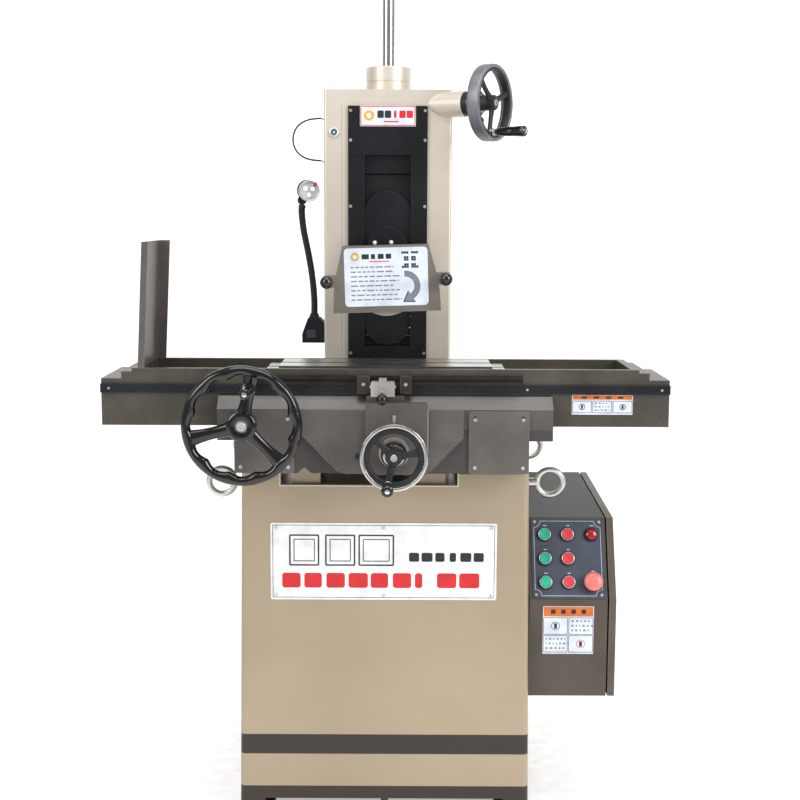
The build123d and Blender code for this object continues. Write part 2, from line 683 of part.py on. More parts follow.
big_plane = facing(big_wheel_x, big_wheel_y, big_wheel_z)
big_pin = (77, 78)
table_wheel = handwheel(big_plane, big_wheel_r, 27, 24, 31, 26, (78, -44, 194), 48, 14, 10.02, big_pin, 12)
finish("table_wheel", table_wheel)
table_handle = grip(big_plane, big_pin, 24, 26, 74, 8, 12.5, 11)
finish("table_handle", table_handle)

with BuildPart() as wheel_shaft:
    shaft_front = big_wheel_y - 10
    disc(facing(big_wheel_x, saddle_y0 + 4, big_wheel_z), 10, saddle_y0 + 4 - shaft_front)
    disc(facing(big_wheel_x, saddle_y0 + 28, big_wheel_z), 7, 26)
    with BuildSketch(facing(big_wheel_x, saddle_y0 + 4 + gear_wide, big_wheel_z)):
        Polygon(*gear_outline(gear_teeth, gear_module, -pi / 2), align=None)
    extrude(amount=gear_wide)
finish("wheel_shaft", wheel_shaft)

with BuildPart() as layshaft:
    disc(facing(big_wheel_x, channel_y1 - 3, layshaft_z), 7, channel_y1 - 3 - saddle_y0 - 3)
    with BuildSketch(facing(big_wheel_x, saddle_y0 + 4 + gear_wide, layshaft_z)):
        Polygon(*gear_outline(gear_teeth, gear_module, pi / 2 + pi / gear_teeth), align=None)
    extrude(amount=gear_wide)
    with BuildSketch(facing(big_wheel_x, -278, layshaft_z)):
        Polygon(*gear_outline(pinion_teeth, gear_module, pi / 2 + pi / pinion_teeth), align=None)
    extrude(amount=20)
finish("layshaft", layshaft)

cross_plane = facing(cross_x, cross_wheel_y, cross_z)
cross_pin = (57, -103)
cross_dial = (27, box_front_y - 14 - free_gap - cross_wheel_y - 28)
cross_wheel = handwheel(cross_plane, cross_wheel_r, 20, 20, 17.5, 15, (12, 135, -103), 28, 10, 10.02, cross_pin,
                        dial=cross_dial)
finish("cross_wheel", cross_wheel)
cross_handle = grip(cross_plane, cross_pin, 20, 15, 66, 7, 11, 12.5)
finish("cross_handle", cross_handle)
with BuildPart() as cross_screw:
    disc(facing(cross_x, -160, cross_z), 10, -160 - cross_wheel_y)
finish("cross_screw", cross_screw)

lift_plane = arm_plane(lift_wheel_t)
lift_pin = (68, -100)
lift_dial = (28, lift_wheel_t - 30 - arm_outer_t - free_gap)
elevation_wheel = handwheel(lift_plane, lift_wheel_r, 16, 22, 17.5, 15, (20, 140, -100), 30, 10, shaft_r + bore_gap, lift_pin,
                            dial=lift_dial)
finish("elevation_wheel", elevation_wheel)
elevation_handle = grip(lift_plane, lift_pin, 22, 15, 80, 7, 11, 12.5)
finish("elevation_handle", elevation_handle)
with BuildPart() as elevation_shaft:
    disc(arm_plane(30), shaft_r, lift_wheel_t + 2 - 30)
    with BuildSketch(Plane(origin=lift_centre, x_dir=arm_dir, z_dir=Vector(0, 0, 1).cross(arm_dir))):
        with BuildLine():
            Polyline((28, 0), (44, 0), (44, 21.6), (28, 13.6), close=True)
        make_face()
    revolve(axis=Axis(lift_centre, arm_dir))
finish("elevation_shaft", elevation_shaft)
with BuildPart() as lift_nut:
    with BuildSketch(Plane(origin=(0, lift_y, 0), x_dir=(1, 0, 0), z_dir=(0, -1, 0))):
        bore = screw_r + run_fit
        with BuildLine():
            Polyline((bore, 1556), (40, 1556), (44, 1560), (44, arm_z - 22.4), (28, arm_z - 14.4),
                     (26, arm_z - 13.4), (26, 1648), (bore, 1648), close=True)
        make_face()
    revolve(axis=Axis((0, lift_y, 0), (0, 0, 1)))
finish("lift_nut", lift_nut)

# ---------------------------------------------------------------- head
carrier_half = 118 - slide_gap
with BuildPart() as head_casting:
    block(-carrier_half, carrier_half, carrier_y + slide_gap, carrier_y + 18, 1100, 1300)
    block(-95, 95, carrier_y + 17, 150, 1094, 1290)
    # round-ended boss that comes out through the slot, and the spindle housing
    with BuildSketch(facing(0, carrier_y + 15, (spindle_z + boss_top_z) / 2)):
        SlotCenterToCenter(boss_top_z - spindle_z, 2 * boss_r, rotation=90)
    extrude(amount=100)
    disc(facing(0, carrier_y, spindle_z), housing_r, carrier_y - housing_end_y)
    # flat cover with round ends that fills the slot behind the panel
    with BuildSketch(facing(0, column_front_y + 7, (1025 + 1387) / 2)):
        SlotOverall(1387 - 1025, 107, rotation=90)
    extrude(amount=6)
    disc(facing(0, 151, spindle_z), spindle_r + run_fit, 400, Mode.SUBTRACT)
    disc(facing(0, 100, spindle_z), spindle_r + 10, 220, Mode.SUBTRACT)
finish("head_casting", head_casting)

with BuildPart() as lift_screw:
    disc(Plane(origin=(0, lift_y, 1290)), screw_r, rod_top_z - 1290)
    chamfer(lift_screw.edges().group_by(Axis.Z)[-1], 2)
finish("lift_screw", lift_screw)

with BuildPart() as spindle_motor:
    disc(Plane(origin=(0, 150, spindle_z), z_dir=(0, 1, 0)), 88, 12)
    disc(Plane(origin=(0, 161, spindle_z), z_dir=(0, 1, 0)), 80, 129)
    disc(Plane(origin=(0, 149, spindle_z), z_dir=(0, 1, 0)), spindle_r + 4, 62, Mode.SUBTRACT)
finish("spindle_motor", spindle_motor)

with BuildPart() as spindle:
    disc(facing(0, 200, spindle_z), spindle_r, 200 + 205)
    disc(facing(0, -204, spindle_z), nose_r, 36)
    disc(facing(0, 208, spindle_z), spindle_r - 3, 10)
finish("spindle", spindle)

stone_back = stone_y + stone_width / 2
stone_front = stone_y - stone_width / 2
with BuildPart() as wheel_flanges:
    disc(facing(0, -205.02, spindle_z), 30, -205.02 - stone_back - 0.02)
    disc(facing(0, stone_front - 0.02, spindle_z), 30, 6)
    disc(facing(0, stone_front - 6, spindle_z), 20, 5)
    disc(facing(0, -200, spindle_z), nose_r + 0.02, 60, Mode.SUBTRACT)
finish("wheel_flanges", wheel_flanges)

with BuildPart() as grinding_wheel:
    disc(facing(0, stone_back, spindle_z), stone_r, stone_width)
    disc(facing(0, stone_back + 1, spindle_z), nose_r + 0.05, stone_width + 2, Mode.SUBTRACT)
finish("grinding_wheel", grinding_wheel)

# outline of the guard: its own x and y are measured from the spindle
guard_top = 1265 - spindle_z
guard_side_y = 1202 - spindle_z
guard_notch_y = 1165 - spindle_z
guard_low_y = 1118.5 - spindle_z
guard_outline = [(-95, guard_top), (95, guard_top), (111, guard_side_y), (117, guard_notch_y), (119, guard_low_y),
                 (-119, guard_low_y), (-117, guard_notch_y), (-111, guard_side_y)]
ear_x = 131
ear_y = 4
with BuildPart() as wheel_guard:
    with BuildSketch(guard_plane(housing_end_y + 6)):
        Polygon(*guard_outline, align=None)
    extrude(amount=housing_end_y + 6 - guard_front_y)
    with BuildSketch(guard_plane(housing_end_y + 3)):
        Polygon(*guard_outline, align=None)
        offset(amount=-guard_wall, kind=Kind.INTERSECTION, mode=Mode.REPLACE)
        with Locations((0, guard_low_y)):
            Rectangle(2 * 119 - 2 * guard_wall, 20)
    extrude(amount=80, mode=Mode.SUBTRACT)
    with BuildSketch(guard_plane(housing_end_y + 6)):
        for side in (-1, 1):
            with Locations((side * (ear_x - 8), ear_y)):
                RectangleRounded(36, 26, 3)
    extrude(amount=housing_end_y + 6 - guard_front_y)
    with BuildSketch(guard_plane(housing_end_y + 3)):
        Polygon(*guard_outline, align=None)
        offset(amount=-guard_wall, kind=Kind.INTERSECTION, mode=Mode.REPLACE)
    extrude(amount=80, mode=Mode.SUBTRACT)
    disc(guard_plane(housing_end_y + 7), housing_r + 0.02, 12, Mode.SUBTRACT)
    for side in (-1, 1):
        ear_at = guard_plane(guard_front_y) * Location((side * ear_x, ear_y, 0))
        disc(Plane(ear_at).offset(1), 4 + run_fit, -32, Mode.SUBTRACT)
finish("wheel_guard", wheel_guard)

with BuildPart() as guard_cover:
    with BuildSketch(guard_plane(guard_front_y)):
        Polygon(*guard_outline, align=None)
        for side in (-1, 1):
            with Locations((side * (ear_x - 8), ear_y)):
                RectangleRounded(36, 26, 3)
            with Locations((side * ear_x, ear_y)):
                Circle(4.4, mode=Mode.SUBTRACT)
    extrude(amount=4)
finish("guard_cover", guard_cover)


def guard_knob(side):
    """A ball knob whose threaded stem holds the guard's cover."""
    at = Plane(guard_plane(guard_front_y) * Location((side * ear_x, ear_y, 0)))
    with BuildPart() as built:
        disc(at.offset(-24), 4, 24 + 4 + 12)
        disc(at.offset(4 + free_gap), 8, 8)
        with Locations(at.offset(4 + 8 + 12)):
            Sphere(14.5)
    return built


guard_knob_left = guard_knob(-1)
finish("guard_knob_left", guard_knob_left)
guard_knob_right = guard_knob(1)
finish("guard_knob_right", guard_knob_right)

# ---------------------------------------------------------------- lamp
lamp_x = -column_half - 28
lamp_y = 55
with BuildPart() as lamp_base:
    with BuildSketch(Plane.XZ.offset(-lamp_y + 25)):
        with BuildLine():
            Polyline((-column_half, 1024), (-column_half, 1070), (-column_half - 14, 1084),
                     (-column_half - 42, 1084), (-column_half - 56, 1046), (-column_half - 56, 1024), close=True)
        make_face()
    extrude(amount=-50)
    fillet(lamp_base.edges().filter_by(Axis.Y).group_by(Axis.Z)[-1], 3)
finish("lamp_base", lamp_base)

neck_r = 8.25
pivot = Vector(lamp_x - 28, lamp_y - 8, 1365)
pivot_ball_r = 11
knuckle_r = 7
knuckle_half = 4.5
pivot_pin_r = 3
neck_end_z = pivot.Z - pivot_ball_r - 2
pivot_plane = Plane(origin=pivot, x_dir=(0, 1, 0), z_dir=(1, 0, 0))
neck_points = [Vector(lamp_x, lamp_y, 1084 + free_gap), Vector(lamp_x, lamp_y, 1130), Vector(lamp_x - 5, lamp_y, 1185),
               Vector(lamp_x - 14, lamp_y, 1240), Vector(lamp_x - 25, lamp_y, 1295),
               Vector(lamp_x - 29, lamp_y - 3, 1335), Vector(lamp_x - 28, lamp_y - 8, neck_end_z)]
neck_radii = []
for a, b, c in zip(neck_points, neck_points[1:], neck_points[2:]):
    turn = (b - a).get_angle(c - b)
    neck_radii.append(0.45 * min((b - a).length, (c - b).length) / tan(radians(turn / 2)))
with BuildPart() as lamp_neck:
    with BuildLine():
        neck_path = FilletPolyline(*neck_points, radius=neck_radii)
    with BuildSketch(Plane(origin=neck_points[0], z_dir=neck_path % 0)):
        Circle(neck_r)
    sweep(path=neck_path)
    # flat knuckle on the neck's end, bored for the head's pin
    block(pivot.X - knuckle_half, pivot.X + knuckle_half, pivot.Y - 5, pivot.Y + 5, neck_end_z - 4, pivot.Z)
    disc(pivot_plane.offset(-knuckle_half), knuckle_r, 2 * knuckle_half)
    disc(pivot_plane.offset(-knuckle_half - 1), pivot_pin_r + run_fit, 2 * knuckle_half + 2, Mode.SUBTRACT)
finish("lamp_neck", lamp_neck)

head_centre = Vector(lamp_x - 13, lamp_y - 8, 1388)
head_dir = Vector(0.22, -0.97, -0.08).normalized()
head_plane = Plane(origin=head_centre, x_dir=Vector(0, 0, 1).cross(head_dir), z_dir=head_dir)
with BuildPart() as lamp_head:
    disc(head_plane.offset(-18), 25, 36)
    disc(head_plane.offset(-30), 21, 13)
    disc(head_plane.offset(14), 22, 6, Mode.SUBTRACT)
    with BuildSketch(head_plane.offset(-8)):
        with Locations((14, 16)):
            Rectangle(9, 9, mode=Mode.ADD)
    extrude(amount=30, mode=Mode.SUBTRACT)
    # ball under the head, slotted for the neck's knuckle, with the pin that both turn on
    with Locations(pivot):
        Sphere(pivot_ball_r)
    slot_half = knuckle_half + free_gap
    block(pivot.X - slot_half, pivot.X + slot_half, pivot.Y - 14, pivot.Y + 14, pivot.Z - 30, pivot.Z, Mode.SUBTRACT)
    disc(pivot_plane.offset(-slot_half), knuckle_r + free_gap, 2 * slot_half, Mode.SUBTRACT)
    disc(pivot_plane.offset(-pivot_ball_r + 2), pivot_pin_r, 2 * pivot_ball_r - 4)
finish("lamp_head", lamp_head)

with BuildPart() as lamp_switch:
    with BuildSketch(head_plane.offset(-8 + 2)):
        with Locations((14, 16)):
            Rectangle(8.4, 8.4)
    extrude(amount=24)
finish("lamp_switch", lamp_switch)

# ---------------------------------------------------------------- electrical cabinet
hinge_x = cabinet_x1 + 1.75
hinge_y = 192
control_spots = [(354, 625), (354, 576), (354, 528), (405, 625), (405, 576), (405, 528), (458, 625), (458, 528)]
cabinet_profile = [(-345, 275), (-345, 493), (-265, 661), (187, 680), (187, 275)]
with BuildPart() as cabinet:
    with BuildSketch(Plane.YZ.offset(cabinet_x0)):
        Polygon(*cabinet_profile, align=None)
    extrude(amount=cabinet_x1 - cabinet_x0)
    with BuildSketch(Plane.YZ.offset(cabinet_x0 + cabinet_sheet)):
        Polygon(*cabinet_profile, align=None)
        offset(amount=-cabinet_sheet, kind=Kind.INTERSECTION, mode=Mode.REPLACE)
    extrude(amount=cabinet_x1 - cabinet_x0, mode=Mode.SUBTRACT)
    for low_z in (300, 620):
        block(side_x(low_z) + 0.05, cabinet_x0 + 1, -300, 150, low_z, low_z + 30)
    for button_x, button_z in control_spots:
        disc(slope_plane(button_x, button_z, 4), 11, -12, Mode.SUBTRACT)
    # hinge leaves and knuckles on the back edge
    for hinge_z in (330, 620):
        block(cabinet_x1 - 25, hinge_x, 186.9, 190, hinge_z - 24, hinge_z + 24)
        disc(Plane(origin=(hinge_x, hinge_y, hinge_z - 25)), 4, 50)
finish("cabinet", cabinet)

with BuildPart() as cabinet_door:
    with BuildSketch(Plane.YZ.offset(cabinet_x1 + door_gap)):
        Polygon(*cabinet_profile, align=None)
    extrude(amount=door_x1 - cabinet_x1 - door_gap)
    with BuildSketch(Plane.YZ.offset(cabinet_x1 + door_gap - 1)):
        Polygon(*cabinet_profile, align=None)
        offset(amount=-2, kind=Kind.INTERSECTION, mode=Mode.REPLACE)
    extrude(amount=door_x1 - cabinet_x1 - door_gap - 1, mode=Mode.SUBTRACT)
finish("cabinet_door", cabinet_door)

with BuildPart() as control_panel:
    with BuildSketch(slope_plane(405, 577, 0.02)):
        RectangleRounded(160, 180, 3)
        for button_x, button_z in control_spots:
            with Locations((button_x - 405, (button_z - 577) / slope_dir.Z)):
                Circle(11, mode=Mode.SUBTRACT)
    extrude(amount=2)
finish("control_panel", control_panel)

with BuildPart() as contactor_rack:
    block(cabinet_x0 + cabinet_sheet + 0.02, cabinet_x0 + cabinet_sheet + 2, -250, 150, 310, 480)
    for block_y in (-220, -160, -100):
        block(cabinet_x0 + cabinet_sheet + 1, cabinet_x0 + 75, block_y, block_y + 46, 390, 465)
    block(cabinet_x0 + cabinet_sheet + 1, cabinet_x0 + 90, -20, 90, 320, 410)
finish("contactor_rack", contactor_rack)

# bezel rings of the eight controls, and the pilot light at the top right
button_spots = {"green_top": (354, 625), "green_middle": (354, 576), "green_bottom": (354, 528),
                "red_top": (405, 625), "red_middle": (405, 576), "red_bottom": (405, 528)}
pilot_spot = (458, 625)
stop_spot = (458, 528)
with BuildPart() as button_bezels:
    for spot_x, spot_z in list(button_spots.values()) + [pilot_spot, stop_spot]:
        at = slope_plane(spot_x, spot_z, 2.04)
        disc(at, 15, 4)
        disc(at.offset(-20), 10.9, 21)
        disc(at.offset(-16), 8.5 + free_gap, 30, Mode.SUBTRACT)
    disc(slope_plane(*pilot_spot, 2.04).offset(-10), 8.7, 16)
finish("button_bezels", button_bezels)


def push_button(spot_x, spot_z):
    """A push button that sinks into its bezel."""
    with BuildPart() as built:
        disc(slope_plane(spot_x, spot_z, 2.04).offset(-8), 8.5, 14)
    return built


for colour, (spot_x, spot_z) in button_spots.items():
    finish("button_" + colour, push_button(spot_x, spot_z))

with BuildPart() as emergency_stop:
    at = slope_plane(*stop_spot, 2.04)
    disc(at.offset(-6), 8.5, 18)
    with BuildSketch(at.offset(11)):
        Circle(21)
    extrude(amount=11)
    fillet(emergency_stop.edges().filter_by(GeomType.CIRCLE).group_by(SortBy.RADIUS)[-1], 4)
finish("emergency_stop", emergency_stop)
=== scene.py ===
# %% [markdown]
# # A manual surface grinder around a fixed frame
# The machine is a tall column on a box base, with a saddle, a long table and a wheel head that slides on
# the column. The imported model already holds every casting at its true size. This lesson gives each one
# its paint, machined faces and plastics, and builds the handwheels, labels, controls and lamp as meshes.

# %% Load the frame
import bpy
import bmesh
import math
import random
from mathutils import Matrix, Vector


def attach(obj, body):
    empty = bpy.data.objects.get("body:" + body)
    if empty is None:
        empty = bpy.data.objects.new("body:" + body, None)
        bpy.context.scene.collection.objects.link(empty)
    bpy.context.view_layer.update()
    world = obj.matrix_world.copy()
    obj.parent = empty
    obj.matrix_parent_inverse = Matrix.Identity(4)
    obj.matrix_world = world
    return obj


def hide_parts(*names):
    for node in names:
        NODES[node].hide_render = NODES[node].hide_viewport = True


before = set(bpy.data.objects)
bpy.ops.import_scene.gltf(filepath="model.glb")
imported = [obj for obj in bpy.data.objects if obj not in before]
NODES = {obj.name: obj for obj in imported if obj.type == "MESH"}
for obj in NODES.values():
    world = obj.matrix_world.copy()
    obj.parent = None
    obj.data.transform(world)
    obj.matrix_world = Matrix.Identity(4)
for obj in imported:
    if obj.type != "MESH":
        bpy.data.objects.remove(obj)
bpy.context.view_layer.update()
MM = 0.001

# %% [markdown]
# ## The camera
# The machine is seen from in front, a little above the table and tilted slightly down, from about three
# metres. A 62 mm lens on a 36 mm sensor gives the same mild perspective as a studio picture.

# %% Camera
eye = Vector((0.031, -3.295, 1.329))
tilt_down = math.radians(7.6)
roll = math.radians(0.25)
camera_data = bpy.data.cameras.new("camera")
camera_data.lens = 62.1
camera_data.sensor_width = 36
camera = bpy.data.objects.new("camera", camera_data)
bpy.context.scene.collection.objects.link(camera)
aim = Matrix.Rotation(math.pi / 2 - tilt_down, 4, "X") @ Matrix.Rotation(roll, 4, "Z")
camera.matrix_world = Matrix.Translation(eye) @ aim
bpy.context.scene.camera = camera

# %% [markdown]
# ## Small helpers for shader nodes
# A paint or a metal is a short chain of nodes. One helper adds a node, sets its sockets by name and
# links them, so that each finish below reads as a list of what the surface does.

# %% Colour and node helpers
def linear(code):
    """An sRGB hex colour as the linear RGBA that shaders use."""
    parts = [int(code[i:i + 2], 16) / 255 for i in (1, 3, 5)]
    return [p / 12.92 if p <= 0.04045 else ((p + 0.055) / 1.055) ** 2.4 for p in parts] + [1.0]


def add(tree, kind, values=None, links=None, **settings):
    """One node with its settings, socket values and incoming links."""
    node = tree.nodes.new(kind)
    for key, value in settings.items():
        setattr(node, key, value)
    for key, value in (values or {}).items():
        node.inputs[key].default_value = value
    for key, source in (links or {}).items():
        tree.links.new(source, node.inputs[key])
    return node


def blank(name):
    """A material with only an output and a Principled shader, ready for a pattern."""
    mat = bpy.data.materials.new(name)
    mat.use_nodes = True
    tree = mat.node_tree
    tree.nodes.clear()
    out = tree.nodes.new("ShaderNodeOutputMaterial")
    shader = tree.nodes.new("ShaderNodeBsdfPrincipled")
    tree.links.new(shader.outputs["BSDF"], out.inputs["Surface"])
    coords = tree.nodes.new("ShaderNodeTexCoord").outputs["Object"]
    return mat, tree, shader, coords


def ramp(tree, source, stops):
    """A colour ramp over a value: a list of (position, hex colour)."""
    node = add(tree, "ShaderNodeValToRGB", links={"Fac": source})
    band = node.color_ramp
    while len(band.elements) < len(stops):
        band.elements.new(0.5)
    for element, (place, code) in zip(band.elements, stops):
        element.position = place
        element.color = linear(code)
    return node.outputs["Color"]


def noise(tree, coords, scale, detail=3.0, rough=0.5, stretch=None):
    """Noise at a scale in cells per metre, stretched along an axis if asked."""
    source = coords
    if stretch:
        source = add(tree, "ShaderNodeMapping", {"Scale": stretch}, {"Vector": coords}).outputs["Vector"]
    return add(tree, "ShaderNodeTexNoise", {"Scale": scale, "Detail": detail, "Roughness": rough},
               {"Vector": source}).outputs["Fac"]


def bump(tree, shader, height, strength, distance):
    """Raise the surface by a height pattern, distance in metres."""
    node = add(tree, "ShaderNodeBump", {"Strength": strength, "Distance": distance}, {"Height": height})
    tree.links.new(node.outputs["Normal"], shader.inputs["Normal"])


def edge_wear(tree, amount=0.004):
    """Near 1 on sharp outer edges: the bevelled normal turned away from the true one."""
    soft = add(tree, "ShaderNodeBevel", {"Radius": amount}, samples=4).outputs["Normal"]
    hard = tree.nodes.new("ShaderNodeNewGeometry").outputs["Normal"]
    dot = add(tree, "ShaderNodeVectorMath", links={0: soft, 1: hard}, operation="DOT_PRODUCT").outputs["Value"]
    spread = add(tree, "ShaderNodeMapRange", {"From Min": 0.995, "From Max": 0.8}, {"Value": dot})
    return spread.outputs["Result"]

# %% [markdown]
# ## Metallic beige enamel with two dark bands
# The castings are sprayed with a champagne enamel that holds fine metal flake under a clear coat. The
# base carries a brown stripe and a brown plinth, masked off and sprayed, so their edges are crisp. They
# are drawn from the height above the floor rather than as separate sheets.

# %% Beige enamel
def beige_enamel(name, bands, dark, light):
    """Champagne enamel with flake in two tones; bands is a list of (low, high) heights painted brown."""
    mat, tree, shader, coords = blank(name)
    flake = noise(tree, coords, 2600, 1.0)
    cloud = noise(tree, coords, 3.0, 3.0)
    base = ramp(tree, cloud, [(0.3, dark), (0.7, light)])
    sparkle = ramp(tree, flake, [(0.45, "#ffffff"), (0.62, "#fbf6ee"), (0.75, "#e6dfd4")])
    mix = add(tree, "ShaderNodeMix", {"Factor": 0.55}, data_type="RGBA", blend_type="MULTIPLY")
    tree.links.new(base, mix.inputs["A"])
    tree.links.new(sparkle, mix.inputs["B"])
    colour = mix.outputs["Result"]
    height = add(tree, "ShaderNodeSeparateXYZ", links={"Vector": coords}).outputs["Z"]
    for low, high in bands:
        above = add(tree, "ShaderNodeMath", {1: low}, {0: height}, operation="GREATER_THAN").outputs[0]
        below = add(tree, "ShaderNodeMath", {1: high}, {0: height}, operation="LESS_THAN").outputs[0]
        inside = add(tree, "ShaderNodeMath", links={0: above, 1: below}, operation="MULTIPLY").outputs[0]
        layer = add(tree, "ShaderNodeMix", links={"Factor": inside, "A": colour}, data_type="RGBA")
        layer.inputs["B"].default_value = linear("#332c25")
        colour = layer.outputs["Result"]
    tree.links.new(colour, shader.inputs["Base Color"])
    shader.inputs["Metallic"].default_value = 0.42
    wave = noise(tree, coords, 26, 2.0)
    rough = add(tree, "ShaderNodeMapRange", {"To Min": 0.34, "To Max": 0.46}, {"Value": wave})
    tree.links.new(rough.outputs["Result"], shader.inputs["Roughness"])
    shader.inputs["Coat Weight"].default_value = 0.25
    shader.inputs["Coat Roughness"].default_value = 0.2
    bump(tree, shader, wave, 0.12, 0.0006)
    return mat


BASE_PAINT = beige_enamel("champagne_enamel_banded", [(-0.01, 0.076), (0.150, 0.195)], "#a3927b", "#af9f88")
COLUMN_PAINT = beige_enamel("champagne_enamel", [], "#d2c9bb", "#ddd5c9")

# %% [markdown]
# ## Hammer-finish grey enamel
# The saddle, table and guard are sprayed with a grey-brown enamel that wrinkles as it dries. A fine noise
# gives the pitted skin; the tone shifts a little from area to area, and
# sharp outer edges have worn through to a lighter metal.

# %% Hammered enamel, plain brown and black paint
def sprayed(name, dark, light, rough, texture, depth, metal=0.2, wear="#8f8880", worn=0.6):
    """A sprayed finish: two tones, a skin texture of a given cell count per metre, and worn edges."""
    mat, tree, shader, coords = blank(name)
    cloud = noise(tree, coords, 9.0, 4.0)
    tone = ramp(tree, cloud, [(0.3, dark), (0.72, light)])
    skin = noise(tree, coords, texture, 2.0, 0.6)
    speck = ramp(tree, skin, [(0.35, "#c4c4c4"), (0.65, "#ffffff")])
    both = add(tree, "ShaderNodeMix", {"Factor": 0.6}, data_type="RGBA", blend_type="MULTIPLY")
    tree.links.new(tone, both.inputs["A"])
    tree.links.new(speck, both.inputs["B"])
    edge = edge_wear(tree)
    patchy = add(tree, "ShaderNodeMath", links={0: edge, 1: noise(tree, coords, 60, 2.0)},
                 operation="MULTIPLY").outputs[0]
    amount = add(tree, "ShaderNodeMath", {1: worn}, {0: patchy}, operation="MULTIPLY").outputs[0]
    final = add(tree, "ShaderNodeMix", links={"Factor": amount, "A": both.outputs["Result"]}, data_type="RGBA")
    final.inputs["B"].default_value = linear(wear)
    tree.links.new(final.outputs["Result"], shader.inputs["Base Color"])
    shader.inputs["Metallic"].default_value = metal
    spread = add(tree, "ShaderNodeMapRange", {"To Min": rough - 0.06, "To Max": rough + 0.08}, {"Value": skin})
    tree.links.new(spread.outputs["Result"], shader.inputs["Roughness"])
    bump(tree, shader, skin, 0.5, depth)
    return mat


HAMMER = sprayed("hammered_grey_enamel", "#4b4740", "#625c53", 0.36, 520, 0.0005, metal=0.45)
DOG_BROWN = sprayed("dark_dog_enamel", "#2b2724", "#3a3531", 0.4, 520, 0.0003)
APRON_GREY = sprayed("hammered_grey_apron", "#5d5753", "#736c68", 0.38, 520, 0.0005, metal=0.3)
BROWN = sprayed("brown_cabinet_enamel", "#584e45", "#675c52", 0.45, 900, 0.0002)
PANEL_BLACK = sprayed("black_slide_plate", "#1d1e21", "#2a2c31", 0.26, 300, 0.0001, metal=0.35, worn=0.2)
GUARD_GREY = sprayed("cast_guard_enamel", "#6f6861", "#827a72", 0.48, 420, 0.0006)
FIN_BLACK = sprayed("black_anodised", "#0c0d0f", "#17181a", 0.42, 700, 0.0001, worn=0.1)

# %% [markdown]
# ## Two finishes on one part
# Some parts carry two finishes: the saddle is dark grey below its painted slope, painted shade where its lower
# body sits in shadow behind the apron; the lift screw is chromed above a height and near black below it, dark
# oily steel with painted shade inside the column; the stop has a black ball on a pale body, and the cabinet's
# lid is blacker than its sides. One material holds both and changes over at a height, a depth or a slope.

# %% Divided finishes
def divided(name, axis, place, low, high, grain, depth, by_slope=False):
    """Two finishes that meet where one axis reaches a place; each is (dark, light, roughness, metallic)."""
    mat, tree, shader, coords = blank(name)
    source = tree.nodes.new("ShaderNodeNewGeometry").outputs["Normal"] if by_slope else coords
    value = add(tree, "ShaderNodeSeparateXYZ", links={"Vector": source}).outputs[axis]
    share = add(tree, "ShaderNodeMapRange", {"From Min": place - 0.0003, "From Max": place + 0.0003},
                {"Value": value}).outputs["Result"]
    skin = noise(tree, coords, grain, 2.0, 0.6)
    cloud = noise(tree, coords, 9.0, 4.0)
    tones = [ramp(tree, cloud, [(0.3, side[0]), (0.7, side[1])]) for side in (low, high)]
    tone = add(tree, "ShaderNodeMix", links={"Factor": share, "A": tones[0], "B": tones[1]}, data_type="RGBA")
    speck = ramp(tree, skin, [(0.35, "#d2d2d2"), (0.65, "#ffffff")])
    both = add(tree, "ShaderNodeMix", {"Factor": 0.5}, {"A": tone.outputs["Result"], "B": speck},
               data_type="RGBA", blend_type="MULTIPLY")
    tree.links.new(both.outputs["Result"], shader.inputs["Base Color"])
    for place_in, socket in ((2, "Roughness"), (3, "Metallic")):
        level = add(tree, "ShaderNodeMapRange", {"To Min": low[place_in], "To Max": high[place_in]},
                    {"Value": share})
        tree.links.new(level.outputs["Result"], shader.inputs[socket])
    bump(tree, shader, skin, 0.4, depth)
    return mat


# Saddle: the dark grey tones below 0.884 m are painted shade, for the lower body in shadow behind the apron.
SADDLE_PAINT_AND_SHADE = divided("hammered_saddle_enamel_and_painted_shade", "Z", 0.884, ("#403d3b", "#4f4b48", 0.45, 0.2),
                       ("#54524f", "#676460", 0.36, 0.4), 520, 0.0004)
# Lift screw: near black below 1.60 m, dark oily steel darkened with painted shade inside the column; chrome
# above.
LIFT_STEEL_AND_SHADE = divided("lift_screw_steel_and_painted_shade", "Z", 1.60, ("#161616", "#242424", 0.4, 0.6),
                     ("#c9ccd0", "#eceef0", 0.1, 1.0), 300, 0.00002)
STOP_METAL = divided("stop_ball_and_block", "Y", -0.455, ("#0e0f11", "#17181b", 0.2, 0.0),
                     ("#a7a49e", "#cfccc6", 0.4, 0.7), 300, 0.0001)
CABINET_PAINT = divided("cabinet_enamel_and_lid", "Z", 0.9, ("#4c443c", "#5a5048", 0.42, 0.2),
                        ("#101112", "#1a1b1c", 0.5, 0.0), 900, 0.0001, by_slope=True)

# %% [markdown]
# ## Bare metals
# Ground steel carries long fine scratches in the direction of grinding, so its noise is squeezed along
# one axis. Turned parts get a plain noise instead, and chrome a noise stretched along one axis. Zinc-plated eye
# bolts are softer.

# %% Bare metals
def bare_metal(name, dark, light, rough, scratch=None, depth=0.00004, metal=1.0):
    """A bare metal: two tones along its scratches, and roughness that follows them."""
    mat, tree, shader, coords = blank(name)
    lines = noise(tree, coords, 300, 3.0, 0.6, scratch or (1, 1, 1))
    cloud = noise(tree, coords, 14, 3.0)
    both = add(tree, "ShaderNodeMath", links={0: lines, 1: cloud}, operation="ADD").outputs[0]
    half = add(tree, "ShaderNodeMath", {1: 0.5}, {0: both}, operation="MULTIPLY").outputs[0]
    tree.links.new(ramp(tree, half, [(0.35, dark), (0.65, light)]), shader.inputs["Base Color"])
    shader.inputs["Metallic"].default_value = metal
    spread = add(tree, "ShaderNodeMapRange", {"To Min": max(rough - 0.08, 0.03), "To Max": rough + 0.08},
                 {"Value": lines})
    tree.links.new(spread.outputs["Result"], shader.inputs["Roughness"])
    bump(tree, shader, lines, 0.25, depth)
    return mat


